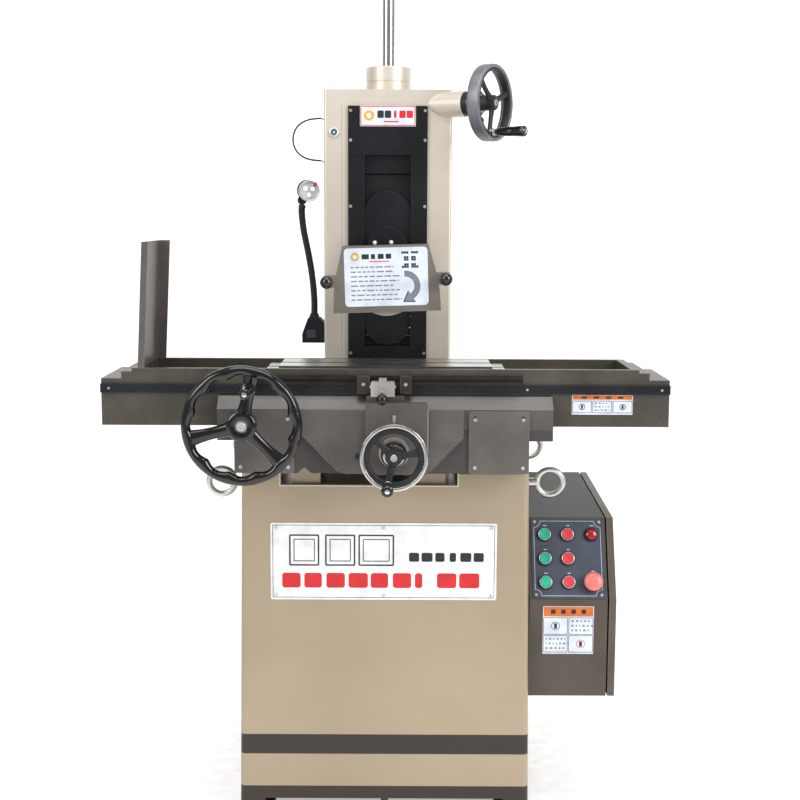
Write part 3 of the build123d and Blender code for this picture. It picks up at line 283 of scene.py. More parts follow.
GROUND = bare_metal("ground_steel", "#8f8d88", "#c4c1ba", 0.28, (0.03, 1.6, 1.0))
TURNED = bare_metal("turned_steel", "#a5a5a5", "#dcdcdc", 0.24, (1, 1, 1))
CHROME = bare_metal("hard_chrome", "#c9ccd0", "#eceef0", 0.1, (1, 1, 0.05))
ZINC = bare_metal("zinc_plate", "#b9bab6", "#e4e4e0", 0.34, (1, 1, 1), metal=0.85)
CAST_ALU = bare_metal("cast_aluminium", "#a19d97", "#d0ccc6", 0.42, (1, 1, 1), 0.0002, metal=0.75)
DARK_STEEL = bare_metal("blackened_steel", "#22211f", "#3a3936", 0.42, (1, 1, 1), metal=0.7)
CAST_DARK = bare_metal("dark_cast_iron", "#1f2022", "#34363a", 0.46, (1, 1, 1), 0.0003, metal=0.5)
WHEEL_GREY = bare_metal("grey_wheel_casting", "#6b6d72", "#8e9095", 0.42, (1, 1, 1), 0.0002, metal=0.6)

# %% [markdown]
# ## Plastics, enamelled labels and the stone
# Phenolic handwheels are deep black with a hard polish and a faint orange-peel. Button caps are bright
# moulded plastic. Label film is smooth and near white. The grinding wheel is bonded white grit.

# %% Plastics and the rest
def moulded(name, code, rough, coat=0.0, grain=900, depth=0.00005, glow=0.0):
    """A moulded plastic or printed film with a faint skin."""
    mat, tree, shader, coords = blank(name)
    skin = noise(tree, coords, grain, 2.0)
    base = linear(code)
    dim = "#" + "".join(f"{int(int(code[i:i + 2], 16) * 0.9):02x}" for i in (1, 3, 5))
    tree.links.new(ramp(tree, noise(tree, coords, 30, 2.0), [(0.3, dim), (0.7, code)]),
                   shader.inputs["Base Color"])
    spread = add(tree, "ShaderNodeMapRange", {"To Min": max(rough - 0.04, 0.02), "To Max": rough + 0.05},
                 {"Value": skin})
    tree.links.new(spread.outputs["Result"], shader.inputs["Roughness"])
    shader.inputs["Coat Weight"].default_value = coat
    shader.inputs["Coat Roughness"].default_value = 0.05
    bump(tree, shader, skin, 0.2, depth)
    if glow:
        shader.inputs["Emission Color"].default_value = base
        shader.inputs["Emission Strength"].default_value = glow
    return mat


BAKELITE = moulded("phenolic_black", "#08090a", 0.14, 0.35, 200, 0.0001)
BALL_BLACK = moulded("ball_knob_black", "#15161a", 0.2, 0.4)
RUBBER_BLACK = moulded("soft_black", "#141416", 0.5)
GREEN = moulded("green_cap", "#26bf99", 0.28, 0.3)
RED = moulded("red_cap", "#e83f4b", 0.28, 0.3)
DARK_RED = moulded("red_lens", "#a3131f", 0.16, 0.6)
MUSHROOM = moulded("coral_mushroom", "#e57b73", 0.34, 0.15)
FILM_WHITE = moulded("label_white", "#dde4f0", 0.35)
PLATE_WHITE = moulded("enamel_plate_white", "#f4f5f6", 0.25, 0.2)
PANEL_BLUE = moulded("blue_grey_panel", "#434a59", 0.42, 0.1)
INK_DARK = moulded("ink_dark", "#20242b", 0.5)
INK_GREY = moulded("ink_grey", "#7d828b", 0.5)
INK_RED = moulded("ink_red", "#d8232a", 0.45)
INK_ORANGE = moulded("ink_orange", "#d9702b", 0.45)
INK_AMBER = moulded("ink_amber", "#e5a92b", 0.45)
LED_WHITE = moulded("led_white", "#fdfdf6", 0.3, glow=0.6)
GLASS_GREEN = moulded("sight_glass_face", "#59646e", 0.08, 0.8)
STONE = sprayed("bonded_grit", "#c9c6c0", "#e2dfd9", 0.85, 1400, 0.0006, metal=0.0, worn=0.0)
FLOOR = moulded("studio_floor", "#f3f3f3", 0.6, glow=0.5)
print("made", len(bpy.data.materials), "materials")

# %% [markdown]
# ## Painting the castings
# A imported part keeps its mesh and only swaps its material. Each list below names the parts that share one
# finish, so a change of paint is a change in one place.

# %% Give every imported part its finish
def paint(mat, *names):
    """Put one material on each named part."""
    for name in names:
        mesh = NODES[name].data
        mesh.materials.clear()
        mesh.materials.append(mat)


paint(BASE_PAINT, "base_casting")
paint(COLUMN_PAINT, "column_casting", "elevation_arm", "top_flange")
paint(HAMMER, "table_casting", "stop_bracket")
paint(DOG_BROWN, "left_dog", "right_dog")
paint(APRON_GREY, "apron", "cover_plates", "splash_guard", "wheel_guard")
paint(SADDLE_PAINT_AND_SHADE, "saddle_casting")
paint(PANEL_BLACK, "column_panel", "head_casting", "rear_cover", "front_strip")
paint(DARK_STEEL, "dog_rail", "spindle_motor", "lift_nut", "layshaft")
paint(GROUND, "platen")
paint(TURNED, "spindle", "wheel_flanges", "wheel_shaft", "cross_screw", "elevation_shaft")
paint(ZINC, "eye_bolts", "casing_screws", "button_bezels", "contactor_rack")
paint(CAST_ALU, "feed_bearings")
paint(STOP_METAL, "stop_block")
paint(STONE, "grinding_wheel")
paint(CABINET_PAINT, "cabinet")
paint(BROWN, "cabinet_door")
paint(PANEL_BLUE, "control_panel")
paint(PLATE_WHITE, "nameplate")
paint(GUARD_GREY, "guard_cover")
paint(BALL_BLACK, "guard_knob_left", "guard_knob_right")
paint(RUBBER_BLACK, "lamp_base", "lamp_neck", "oil_line")
paint(FIN_BLACK, "lamp_head")
paint(RED, "lamp_switch", "button_red_top", "button_red_middle", "button_red_bottom")
paint(GREEN, "button_green_top", "button_green_middle", "button_green_bottom")
paint(MUSHROOM, "emergency_stop")
paint(LIFT_STEEL_AND_SHADE, "lift_screw")
paint(BAKELITE, "table_wheel", "table_handle", "cross_handle", "elevation_handle")
paint(CAST_DARK, "cross_wheel")
paint(WHEEL_GREY, "elevation_wheel")
bare = [name for name, node in NODES.items() if not node.data.materials]
print("parts without a finish:", bare)

# %% [markdown]
# ## Shaping pieces in code
# Most small pieces of a machine are turned or cut from plate, so two builders make nearly all of them. The
# lathe spins a list of (radius, height) rings; a ring's radius may follow the angle, which gives hexagons.
# The plate cutter gives an outline a thickness. Both work in millimetres on a placed frame.

# %% Lathe, plate cutter and finishing
def frame_at(origin, out, across=None):
    """A local frame in millimetres: z points out, x points across, y follows."""
    z = Vector(out).normalized()
    x = Vector(across).normalized() if across else Vector((0, 0, 1)).cross(z).normalized()
    y = z.cross(x)
    return Matrix.Translation(Vector(origin)) @ Matrix((x, y, z)).transposed().to_4x4()


def front(x, y, z):
    """A frame that faces the operator: x to the right, y up."""
    return frame_at((x, y, z), (0, -1, 0), (1, 0, 0))


def lathe(form, rings, place, steps=48, mat=0):
    """Spin rings of (radius, height) round the frame's z. Radius 0 closes the end with a pole."""
    loops = []
    for radius, height in rings:
        if radius == 0:
            loops.append([form.verts.new(place @ Vector((0, 0, height)))])
            continue
        loop = []
        for step in range(steps):
            a = 2 * math.pi * step / steps
            r = radius(a) if callable(radius) else radius
            loop.append(form.verts.new(place @ Vector((r * math.cos(a), r * math.sin(a), height))))
        loops.append(loop)
    for low, high in zip(loops, loops[1:]):
        for step in range(steps):
            after = (step + 1) % steps
            corners = [low[step % len(low)], low[after % len(low)],
                       high[after % len(high)], high[step % len(high)]]
            face = form.faces.new(list(dict.fromkeys(corners)))
            face.material_index = mat


def slab(form, outline, place, low, high, mat=0):
    """A flat plate with a straight edge, from height low to high on the frame."""
    under = [form.verts.new(place @ Vector((x, y, low))) for x, y in outline]
    over = [form.verts.new(place @ Vector((x, y, high))) for x, y in outline]
    faces = [form.faces.new(over), form.faces.new(under[::-1])]
    for index in range(len(outline)):
        after = (index + 1) % len(outline)
        faces.append(form.faces.new((under[index], under[after], over[after], over[index])))
    for face in faces:
        face.material_index = mat


def rounded(x, y, width, height, corner=0.0, steps=5):
    """The outline of a rectangle with round corners, centred on (x, y)."""
    if corner <= 0:
        return [(x + sx * width / 2, y + sy * height / 2) for sx, sy in ((-1, -1), (1, -1), (1, 1), (-1, 1))]
    points = []
    for turn, (sx, sy) in enumerate(((1, 1), (-1, 1), (-1, -1), (1, -1))):
        for step in range(steps + 1):
            a = math.pi / 2 * (turn + step / steps)
            points.append((x + sx * (width / 2 - corner) + corner * math.cos(a),
                           y + sy * (height / 2 - corner) + corner * math.sin(a)))
    return points


def hexagon(size):
    """A ring radius that follows a hexagon with the given distance to its flats."""
    return lambda a: size / math.cos((a % (math.pi / 3)) - math.pi / 6)


def finished(name, form, body, mats, stands_for=(), sharp=32, bevel=0.0):
    """Scale a form to metres, face it outwards, and make it a piece that rides a body."""
    bmesh.ops.scale(form, vec=(MM, MM, MM), verts=form.verts)
    bmesh.ops.recalc_face_normals(form, faces=form.faces)
    mesh = bpy.data.meshes.new(name)
    form.to_mesh(mesh)
    form.free()
    return placed(name, mesh, body, mats, stands_for, sharp, bevel)


def placed(name, mesh, body, mats, stands_for=(), sharp=32, bevel=0.0):
    """A mesh in metres becomes a smooth-shaded piece on a body, with its finish and what it stands for."""
    if not mesh.materials:
        for mat in mats:
            mesh.materials.append(mat)
    mesh.shade_smooth()
    mesh.set_sharp_from_angle(angle=math.radians(sharp))
    item = bpy.data.objects.new(name, mesh)
    bpy.context.scene.collection.objects.link(item)
    if bevel:
        softened = item.modifiers.new("soft_edges", "BEVEL")
        softened.width = bevel * MM
        softened.segments = 2
        softened.limit_method = "ANGLE"
        softened.angle_limit = math.radians(40)
        softened.use_clamp_overlap = True
    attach(item, body)
    if stands_for:
        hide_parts(*stands_for)
    print(name, len(mesh.polygons), "faces on", body)
    return item

# %% [markdown]
# ## Handwheels
# The large table wheel is moulded in black phenolic: a round rim with twelve finger grips on the inside,
# three half-round spokes and a smooth hub with a cap screw sunk in it. The rim is a ring of cross-sections
# whose inner edge follows a wave; each spoke is a short stack of half-round sections that swell at both ends.

# %% Rim and spokes of a handwheel
def rim(form, outer, thick, depth, place, grips=0, bite=0.0, steps=180, mat=0, roundness=1.0):
    """A ring of round sections. grips cuts that many finger hollows of depth bite on the inside."""
    around = 20
    rows = []
    for step in range(steps):
        a = 2 * math.pi * step / steps
        hollow = bite * (0.5 + 0.5 * math.cos(grips * a)) ** 0.6 if grips else 0.0
        inner = outer - thick + hollow
        middle, half = (outer + inner) / 2, (outer - inner) / 2
        row = []
        for turn in range(around):
            t = 2 * math.pi * turn / around
            c, s = math.cos(t), math.sin(t)
            r = middle + half * math.copysign(abs(c) ** roundness, c)
            h = depth / 2 * math.copysign(abs(s) ** roundness, s)
            row.append(form.verts.new(place @ Vector((r * math.cos(a), r * math.sin(a), h))))
        rows.append(row)
    for step in range(steps):
        after = (step + 1) % steps
        for turn in range(around):
            on = (turn + 1) % around
            face = form.faces.new((rows[step][turn], rows[after][turn], rows[after][on], rows[step][on]))
            face.material_index = mat


def spoke(form, place, degrees, start, end, width, waist, depth, mat=0):
    """A half-round spoke from radius start to end, wide at both ends and narrow at its waist."""
    a = math.radians(degrees)
    along = Vector((math.cos(a), math.sin(a), 0))
    side = Vector((-math.sin(a), math.cos(a), 0))
    rows = []
    for step in range(13):
        t = step / 12
        swell = (2 * t - 1) ** 2
        half = (waist + (width - waist) * swell) / 2
        tall = depth * (0.78 + 0.22 * swell)
        row = []
        for turn in range(20):
            b = 2 * math.pi * turn / 20
            high = math.sin(b)
            z = tall / 2 * high if high > 0 else tall * 0.35 * high
            row.append(form.verts.new(place @ (along * (start + (end - start) * t) + side * half * math.cos(b)
                                               + Vector((0, 0, z)))))
        rows.append(row)
    for low, high in zip(rows, rows[1:]):
        for turn in range(20):
            on = (turn + 1) % 20
            form.faces.new((low[turn], high[turn], high[on], low[on])).material_index = mat
    form.faces.new(rows[0]).material_index = mat
    form.faces.new(rows[-1][::-1]).material_index = mat


def cap_screw(form, place, radius, height, mat=0, sunk=0.5):
    """A round head with a chamfer and a hexagon socket."""
    key = hexagon(radius * 0.5)
    lathe(form, [(0, 0), (radius, 0), (radius, height * 0.85), (radius * 0.9, height), (key, height),
                 (key, height * (1 - sunk)), (0, height * (1 - sunk))], place, 36, mat)


def on_wheel(place, reach, degrees, height):
    """A frame on a wheel at a reach and an angle, lifted off its middle plane."""
    a = math.radians(degrees)
    return place @ Matrix.Translation((reach * math.cos(a), reach * math.sin(a), height))

# %% [markdown]
# ## The large wheel, put together
# The rim, three spokes, the hub and the socket for the handle are all parts of one moulding, so they go into
# one mesh in one phenolic finish, with the zinc cap screw and its ring as a second finish.

# %% The table's large handwheel
BIG = front(-290.5, -525, 904.6)
form = bmesh.new()
rim(form, 123.7, 27, 24, BIG, grips=12, bite=7.5)
for degrees in (78, -44, 194):
    spoke(form, BIG, degrees, 18, 104, 34, 25, 22)
lathe(form, [(0, -48), (24, -48), (26, -46), (26, -16), (30, -11), (31, -8), (31, 8), (30, 11.5), (27, 13.6),
             (24, 14), (14.5, 14), (13.2, 13.2), (13, 12), (13, 7), (0, 7)], BIG, 72)
lathe(form, [(0, 8), (14.3, 8), (14.3, 14), (12.5, 15), (0, 15)], on_wheel(BIG, 77, 78, 0), 40)
cap_screw(form, BIG @ Matrix.Translation((0, 0, 7)), 9.5, 6.2, 1)
lathe(form, [(13, 7.4), (11.8, 8.2), (10.2, 8.2), (10.2, 7.2), (13, 7.2), (13, 7.4)], BIG, 40, 1)
finished("table_wheel_moulding", form, "table_wheel", [BAKELITE, ZINC], ["table_wheel"])

# %% [markdown]
# ## Iron wheels with a turned rim and a graduated collar
# The two smaller wheels are cast iron, dished. The cross wheel's outer edge is turned bright; the elevation
# wheel's is a deeper grey ring. Behind each sits a dark collar with fine light divisions. Geometry Nodes
# repeat one thin mark round the collar, with every tenth mark longer, which is quicker to change than
# copied marks.

# %% Geometry Nodes: graduation marks round a collar
def open_tree(name, sizes):
    """A new geometry tree with a geometry input, named size inputs with defaults, and a material input."""
    tree = bpy.data.node_groups.new(name, "GeometryNodeTree")
    face = tree.interface
    face.new_socket("Geometry", in_out="INPUT", socket_type="NodeSocketGeometry")
    for label, value in sizes.items():
        kind = "NodeSocketInt" if isinstance(value, int) else "NodeSocketFloat"
        face.new_socket(label, in_out="INPUT", socket_type=kind).default_value = value
    face.new_socket("Material", in_out="INPUT", socket_type="NodeSocketMaterial")
    face.new_socket("Geometry", in_out="OUTPUT", socket_type="NodeSocketGeometry")
    return tree, tree.nodes.new("NodeGroupInput").outputs, tree.nodes.new("NodeGroupOutput").inputs


def close_tree(tree, enter, leave, instances):
    """End a tree: realise what is repeated and give it the material input."""
    solid = add(tree, "GeometryNodeRealizeInstances", links={"Geometry": instances})
    painted = add(tree, "GeometryNodeSetMaterial",
                  links={"Geometry": solid.outputs["Geometry"], "Material": enter["Material"]})
    tree.links.new(painted.outputs["Geometry"], leave["Geometry"])


def grow(name, tree, mesh, sizes, mat):
    """Run a tree on a mesh and return the plain mesh that it makes."""
    holder = bpy.data.objects.new(name, mesh)
    bpy.context.scene.collection.objects.link(holder)
    modifier = holder.modifiers.new("grow", "NODES")
    modifier.node_group = tree
    for item in tree.interface.items_tree:
        if item.in_out == "INPUT" and item.name in sizes:
            modifier[item.identifier] = sizes[item.name]
        if item.in_out == "INPUT" and item.name == "Material":
            modifier[item.identifier] = mat
    result = bpy.data.meshes.new_from_object(holder.evaluated_get(bpy.context.evaluated_depsgraph_get()))
    bpy.data.objects.remove(holder)
    return result


def multiply(tree, a, b):
    """The product of two values, each a socket or a number."""
    node = add(tree, "ShaderNodeMath", operation="MULTIPLY")
    for place, value in enumerate((a, b)):
        if isinstance(value, (int, float)):
            node.inputs[place].default_value = value
        else:
            tree.links.new(value, node.inputs[place])
    return node.outputs[0]


MARK_WIDTH = 0.0004
marks, enter, leave = open_tree("collar_marks", {"Radius": 0.028, "Count": 50, "Length": 0.006,
                                                 "Width": MARK_WIDTH})
circle = add(marks, "GeometryNodeCurvePrimitiveCircle",
             links={"Radius": enter["Radius"], "Resolution": enter["Count"]}, mode="RADIUS")
index = marks.nodes.new("GeometryNodeInputIndex").outputs["Index"]
tenth = add(marks, "ShaderNodeMath", {1: 10.0}, {0: index}, operation="MODULO").outputs[0]
is_tenth = add(marks, "ShaderNodeMath", {1: 0.5}, {0: tenth}, operation="LESS_THAN").outputs[0]
stretch = add(marks, "ShaderNodeMath", {1: 0.7, 2: 1.0}, {0: is_tenth}, operation="MULTIPLY_ADD").outputs[0]
size = add(marks, "ShaderNodeCombineXYZ", {"Z": 0.0004}, {"X": enter["Width"], "Y": enter["Length"]})
one = add(marks, "GeometryNodeMeshCube", links={"Size": size.outputs["Vector"]})
tangent = marks.nodes.new("GeometryNodeInputTangent").outputs["Tangent"]
normal = add(marks, "ShaderNodeVectorMath", operation="CROSS_PRODUCT")
marks.links.new(tangent, normal.inputs[0])
normal.inputs[1].default_value = (0, 0, 1)
face_out = add(marks, "FunctionNodeAxesToRotation",
               links={"Primary Axis": normal.outputs["Vector"], "Secondary Axis": tangent},
               primary_axis="Z", secondary_axis="X")
scale = add(marks, "ShaderNodeCombineXYZ", {"X": 1.0, "Z": 1.0}, {"Y": stretch})
ring = add(marks, "GeometryNodeInstanceOnPoints",
           links={"Points": circle.outputs["Curve"], "Instance": one.outputs["Mesh"],
                  "Rotation": face_out.outputs["Rotation"], "Scale": scale.outputs["Vector"]})
close_tree(marks, enter, leave, ring.outputs["Instances"])


def collar_marks(name, body, place, radius, count, length):
    """Engraved divisions on a collar, as a piece on the wheel's body."""
    mesh = grow(name, marks, bpy.data.meshes.new(name),
                {"Radius": radius * MM, "Count": count, "Length": length * MM, "Width": MARK_WIDTH}, FILM_WHITE)
    scaled = place.copy()
    scaled.translation = place.translation * MM
    mesh.transform(scaled)
    placed(name, mesh, body, [FILM_WHITE])

# %% [markdown]
# ## Two wheels from one builder
# Both wheels have the same make, only their sizes, angles and finishes differ. One function builds them, and
# the elevation wheel is placed across its arm, which points forward and to the right.

# %% The cross-feed wheel and the elevation wheel
def iron_wheel(name, place, outer, thick, depth, angles, pin, collar, body, casting, ring, hole=None, deeper=0):
    """A dished wheel: outer ring, rim, three spokes, hub with a cap screw, and a graduated collar behind."""
    form = bmesh.new()
    rim(form, outer, 8.5, depth * 0.92 + deeper, place @ Matrix.Translation((0, 0, -deeper / 2)), steps=120,
        mat=4, roundness=0.35)
    rim(form, outer - 6.5, thick - 6.5, depth * 0.8, place, steps=120, mat=0, roundness=0.6)
    for degrees in angles:
        spoke(form, place, degrees, 11, outer - thick + 5, 21, 13.5, depth * 0.62)
    back, collar_r, collar_long = collar
    hub = 17.5
    lathe(form, [(0, -back), (hub, -back), (hub, 6.5), (16, 9), (13.5, 10), (9, 10), (9, 6), (0, 6)], place, 48)
    far = -back - collar_long
    lathe(form, [(0, far), (collar_r - 1, far), (collar_r, far + 1),
                 (collar_r, -back - 1.5), (collar_r - 1.5, -back), (0, -back)], place, 60, 2)
    lathe(form, [(0, -back), (collar_r - 4, -back), (collar_r - 4, -back + 4), (collar_r - 6, -back + 5.5),
                 (0, -back + 5.5)], place, 60, 1)
    cap_screw(form, place @ Matrix.Translation((0, 0, 5)), 7.8, 6.2, 1)
    reach, degrees = pin
    lathe(form, [(0, 4), (8.3, 4), (8.3, depth / 2 + 2), (7.3, depth / 2 + 3), (0, depth / 2 + 3)],
          on_wheel(place, reach, degrees, 0), 32, 1)
    if hole:
        reach, degrees = hole
        spot = on_wheel(place, reach, degrees, 0)
        lathe(form, [(0, depth * 0.39), (7.6, depth * 0.39), (7.6, depth * 0.44), (6.4, depth * 0.45),
                     (6.0, depth * 0.41), (0, depth * 0.41)], spot, 32, 3)
    finished(name, form, body, [casting, TURNED, DARK_STEEL, RUBBER_BLACK, ring], [body])


CROSS = front(19, -515, 839)
iron_wheel("cross_wheel_casting", CROSS, 70, 20, 20, (12, 135, -103), (57, -103), (28, 27, 22.7), "cross_wheel",
           CAST_DARK, TURNED)
collar_marks("cross_wheel_marks", "cross_wheel", CROSS @ Matrix.Translation((0, 0, -37)), 27.05, 50, 7)
arm = math.radians(31.4)
ARM_OUT = Vector((math.cos(arm), -math.sin(arm), 0))
ARM_SIDE = Vector((math.sin(arm), math.cos(arm), 0))


def on_arm(reach):
    """A frame across the elevation arm at a distance from the lift screw."""
    return frame_at(Vector((0, 78, 1587)) + ARM_OUT * reach, ARM_OUT, ARM_SIDE)


LIFT = on_arm(280)
iron_wheel("elevation_wheel_casting", LIFT, 87.5, 16, 22, (20, 140, -100), (68, -100), (30, 28, 37.7),
           "elevation_wheel", CAST_DARK, WHEEL_GREY, hole=(78, 215), deeper=9)
collar_marks("elevation_wheel_marks", "elevation_wheel", LIFT @ Matrix.Translation((0, 0, -48)), 28.05, 100, 8)

# %% [markdown]
# ## Turned handles
# Each handle spins on a pin. The outline swells from a narrow foot to a full belly and ends in a rounded
# nose with a small chrome screw cap, so it is one lathe profile drawn from a few radii.

# %% Revolving handles
def handle(name, place, pin, depth, length, radii, body):
    """A black handle with a chrome foot ring and cap, in place of the plain turned one."""
    foot, waist, end = radii
    spot = on_wheel(place, pin[0], pin[1], depth / 2 + 3.3)
    form = bmesh.new()
    profile = [(0, 0), (foot * 0.98, 0), (foot, 1.2), (foot, 3.5), (foot * 0.86, 5)]
    for step in range(1, 15):
        t = step / 15
        swell = waist * (0.72 + 0.28 * math.sin(math.pi * (0.1 + 0.62 * t))) if t < 0.55 else None
        radius = swell or waist * 0.96 + (end - waist * 0.96) * (t - 0.55) / 0.45
        profile.append((radius, 5 + (length - 12) * t))
    profile += [(end, length - 6), (end * 0.93, length - 3), (end * 0.72, length - 0.8), (5.2, length - 0.6),
                (5.2, length - 2), (0, length - 2)]
    lathe(form, profile, spot, 40)
    lathe(form, [(0, length - 2), (5, length - 2), (5, length - 0.6), (3.5, length - 0.05), (0, length)],
          spot, 24, 1)
    lathe(form, [(foot * 0.99, 0.2), (foot + 0.5, 0.6), (foot + 0.5, 3.2), (foot * 0.99, 3.6), (foot * 0.9, 2)],
          spot, 32, 1)
    finished(name, form, body, [BAKELITE, CHROME], [body])


handle("table_handle_grip", BIG, (77, 78), 24, 74, (8, 12.5, 11), "table_handle")
handle("cross_handle_grip", CROSS, (57, -103), 20, 66, (7, 11, 12.5), "cross_handle")
handle("elevation_handle_grip", LIFT, (68, -100), 22, 80, (7, 11, 12.5), "elevation_handle")

# %% [markdown]
# ## Socket screws, one tree for all of them
# Dozens of small cap screws hold the covers, labels and strips. A tree makes one head, a cylinder with a
# hexagon socket cut into it, and sets a copy on every point of a bare mesh, turned to that point's own
# outward direction. Each moving body gets its own list, so its screws travel with it.

# %% Geometry Nodes: screws on points
screws, enter, leave = open_tree("socket_screws", {"Head Radius": 0.003, "Head Height": 0.002})
head = add(screws, "GeometryNodeMeshCylinder", {"Vertices": 24},
           {"Radius": enter["Head Radius"], "Depth": enter["Head Height"]})
half = multiply(screws, enter["Head Height"], 0.5)
raised = add(screws, "ShaderNodeCombineXYZ", links={"Z": half}).outputs["Vector"]
stood = add(screws, "GeometryNodeTransform", links={"Geometry": head.outputs["Mesh"], "Translation": raised})
key_radius = multiply(screws, enter["Head Radius"], 0.52)
key = add(screws, "GeometryNodeMeshCylinder", {"Vertices": 6},
          {"Radius": key_radius, "Depth": enter["Head Height"]})
lifted = add(screws, "ShaderNodeCombineXYZ", links={"Z": enter["Head Height"]}).outputs["Vector"]
above = add(screws, "GeometryNodeTransform", links={"Geometry": key.outputs["Mesh"], "Translation": lifted})
cut = add(screws, "GeometryNodeMeshBoolean", operation="DIFFERENCE", solver="EXACT")
screws.links.new(stood.outputs["Geometry"], cut.inputs["Mesh 1"])
screws.links.new(above.outputs["Geometry"], cut.inputs["Mesh 2"])
aim = add(screws, "GeometryNodeInputNamedAttribute", {"Name": "aim"}, data_type="FLOAT_VECTOR")
turn = add(screws, "FunctionNodeAlignRotationToVector", links={"Vector": aim.outputs["Attribute"]}, axis="Z")
spread = add(screws, "GeometryNodeInstanceOnPoints",
             links={"Points": enter["Geometry"], "Instance": cut.outputs["Mesh"],
                    "Rotation": turn.outputs["Rotation"]})
close_tree(screws, enter, leave, spread.outputs["Instances"])


def screw_set(name, body, spots, radius, height, mat, stands_for=()):
    """Screws at (x, y, z, direction) spots in millimetres, as one piece on a body."""
    points = bpy.data.meshes.new(name + "_points")
    points.from_pydata([Vector(spot[:3]) * MM for spot in spots], [], [])
    aims = points.attributes.new("aim", "FLOAT_VECTOR", "POINT")
    for index, spot in enumerate(spots):
        aims.data[index].vector = spot[3]
    mesh = grow(name, screws, points, {"Head Radius": radius * MM, "Head Height": height * MM}, mat)
    placed(name, mesh, body, [mat], stands_for)


FORWARD = (0, -1, 0)
panel_spots = [(side * 87, -21, z, FORWARD) for z in (1572, 1504, 1351, 1005) for side in (-1, 1)]
plate_spots = [(-3 + col * 233, -376.5, 586 + row * 75, FORWARD) for col in (-1, 0, 1) for row in (-1, 1)]
rear_spots = [(side * 118, 323, z, (0, 1, 0)) for side in (-1, 1) for z in (893, 1230, 1567)]
flange_spots = [(40 * math.cos(a), 78 + 40 * math.sin(a), 1674, (0, 0, 1))
                for a in (math.pi / 4 + math.pi / 2 * step for step in range(4))]
screw_set("casing_cap_screws", "base", panel_spots + plate_spots + rear_spots + flange_spots, 3.6, 2.2, ZINC,
          ["casing_screws"])
cover_spots = [(x, -435, z, FORWARD) for x0, x1 in ((-317, -191), (176, 303)) for x in (x0 + 13, x1 - 13)
               for z in (804, 906)]
screw_set("cover_cap_screws", "saddle", cover_spots, 4.0, 2.6, ZINC)
screw_set("strip_cap_screws", "table", [(x, -401, 965.5, FORWARD) for x in (-585, -300, 300, 585)], 2.6, 1.2,
          ZINC)
screw_set("dog_cap_screws_left", "left_dog", [(-46, -416.5, 978, FORWARD)], 3.6, 2.2, ZINC)
screw_set("dog_cap_screws_right", "right_dog", [(43, -416.5, 978, FORWARD)], 3.6, 2.2, ZINC)
SLOPE_UP = Vector((0, 80, 168)).normalized()
SLOPE_OUT = Vector((0, -168, 80)).normalized()


def on_slope(x, z, lift=0.0):
    """A frame on the cabinet's slanted front at X and height z."""
    at = Vector((x, -345, 493)) + SLOPE_UP * ((z - 493) / SLOPE_UP.z) + SLOPE_OUT * lift
    return frame_at(at, SLOPE_OUT, (1, 0, 0))


CONTROL = on_slope(405, 577)
control_spots = [tuple(CONTROL @ Vector((sx * 72, sy * 82, 2.0))) + (SLOPE_OUT,)
                 for sx in (-1, 1) for sy in (-1, 1)]
screw_set("control_cap_screws", "base", control_spots, 3.3, 1.6, ZINC)

# %% [markdown]
# ## Printed plates and labels
# Labels are thin film with printing. The film is a plate with round corners; each printed patch is another
# plate a few hundredths of a millimetre higher, so the print stays crisp from any side. Lines of grey bars
# stand for wording, and simple blocks and rings stand for marks; none of it spells anything.

# %% Label builder
def print_bars(form, place, x, y, widths, pitch, tall, lift, mat):
    """Rows of short bars that stand for lines of print, each row a list of word lengths."""
    for row, words in enumerate(widths):
        along = x
        for word in words:
            slab(form, rounded(along + word / 2, y - row * pitch, word, tall), place, lift, lift + 0.05, mat)
            along += word + tall * 1.1


def word_rows(seed, rows, total, low, high):
    """Random word lengths that fill each row to a total, from a fixed seed."""
    pick = random.Random(seed)
    result = []
    for row in range(rows):
        words, used = [], 0.0
        goal = total * pick.uniform(0.72, 1.0)
        while used < goal:
            word = pick.uniform(low, high)
            words.append(min(word, goal - used + 0.5))
            used += word + 1.5
        result.append(words)
    return result


def frame_lines(form, place, x, y, width, height, line, lift, mat, corner=0.0):
    """A rectangular outline as four thin bars, with its corners left open if a corner size is given."""
    for sign in (-1, 1):
        slab(form, rounded(x, y + sign * height / 2, width - 2 * corner, line), place, lift, lift + 0.05, mat)
        slab(form, rounded(x + sign * width / 2, y, line, height - 2 * corner), place, lift, lift + 0.05, mat)


def arc_band(form, place, x, y, radius, start, end, wide_start, wide_end, lift, mat, steps=20, tip=0.0):
    """A curved band whose width changes along it, ending in an arrowhead if a tip size is given."""
    outer, inner = [], []
    for step in range(steps + 1):
        t = step / steps
        a = math.radians(start + (end - start) * t)
        wide = (wide_start + (wide_end - wide_start) * t) / 2
        outer.append((x + (radius + wide) * math.cos(a), y + (radius + wide) * math.sin(a)))
        inner.append((x + (radius - wide) * math.cos(a), y + (radius - wide) * math.sin(a)))
    for step in range(steps):
        slab(form, [outer[step], inner[step], inner[step + 1], outer[step + 1]], place, lift, lift + 0.05, mat)
    if tip:
        a = math.radians(end)
        turn = math.copysign(1, end - start)
        ahead = Vector((-math.sin(a), math.cos(a))) * turn
        centre = Vector((x + radius * math.cos(a), y + radius * math.sin(a)))
        across = Vector((math.cos(a), math.sin(a)))
        head = [tuple(centre + across * tip), tuple(centre - across * tip), tuple(centre + ahead * tip * 1.5)]
        slab(form, head, place, lift, lift + 0.05, mat)


PRINTS = [FILM_WHITE, INK_DARK, INK_GREY, INK_RED, INK_ORANGE, INK_AMBER, PLATE_WHITE]

# %% [markdown]
# ## The guard's label
# The label carries the turning direction, so its arrow is a curved band with a head: a dark band with a
# slightly smaller grey one over it reads as a printed outline. The lines of print are bars.

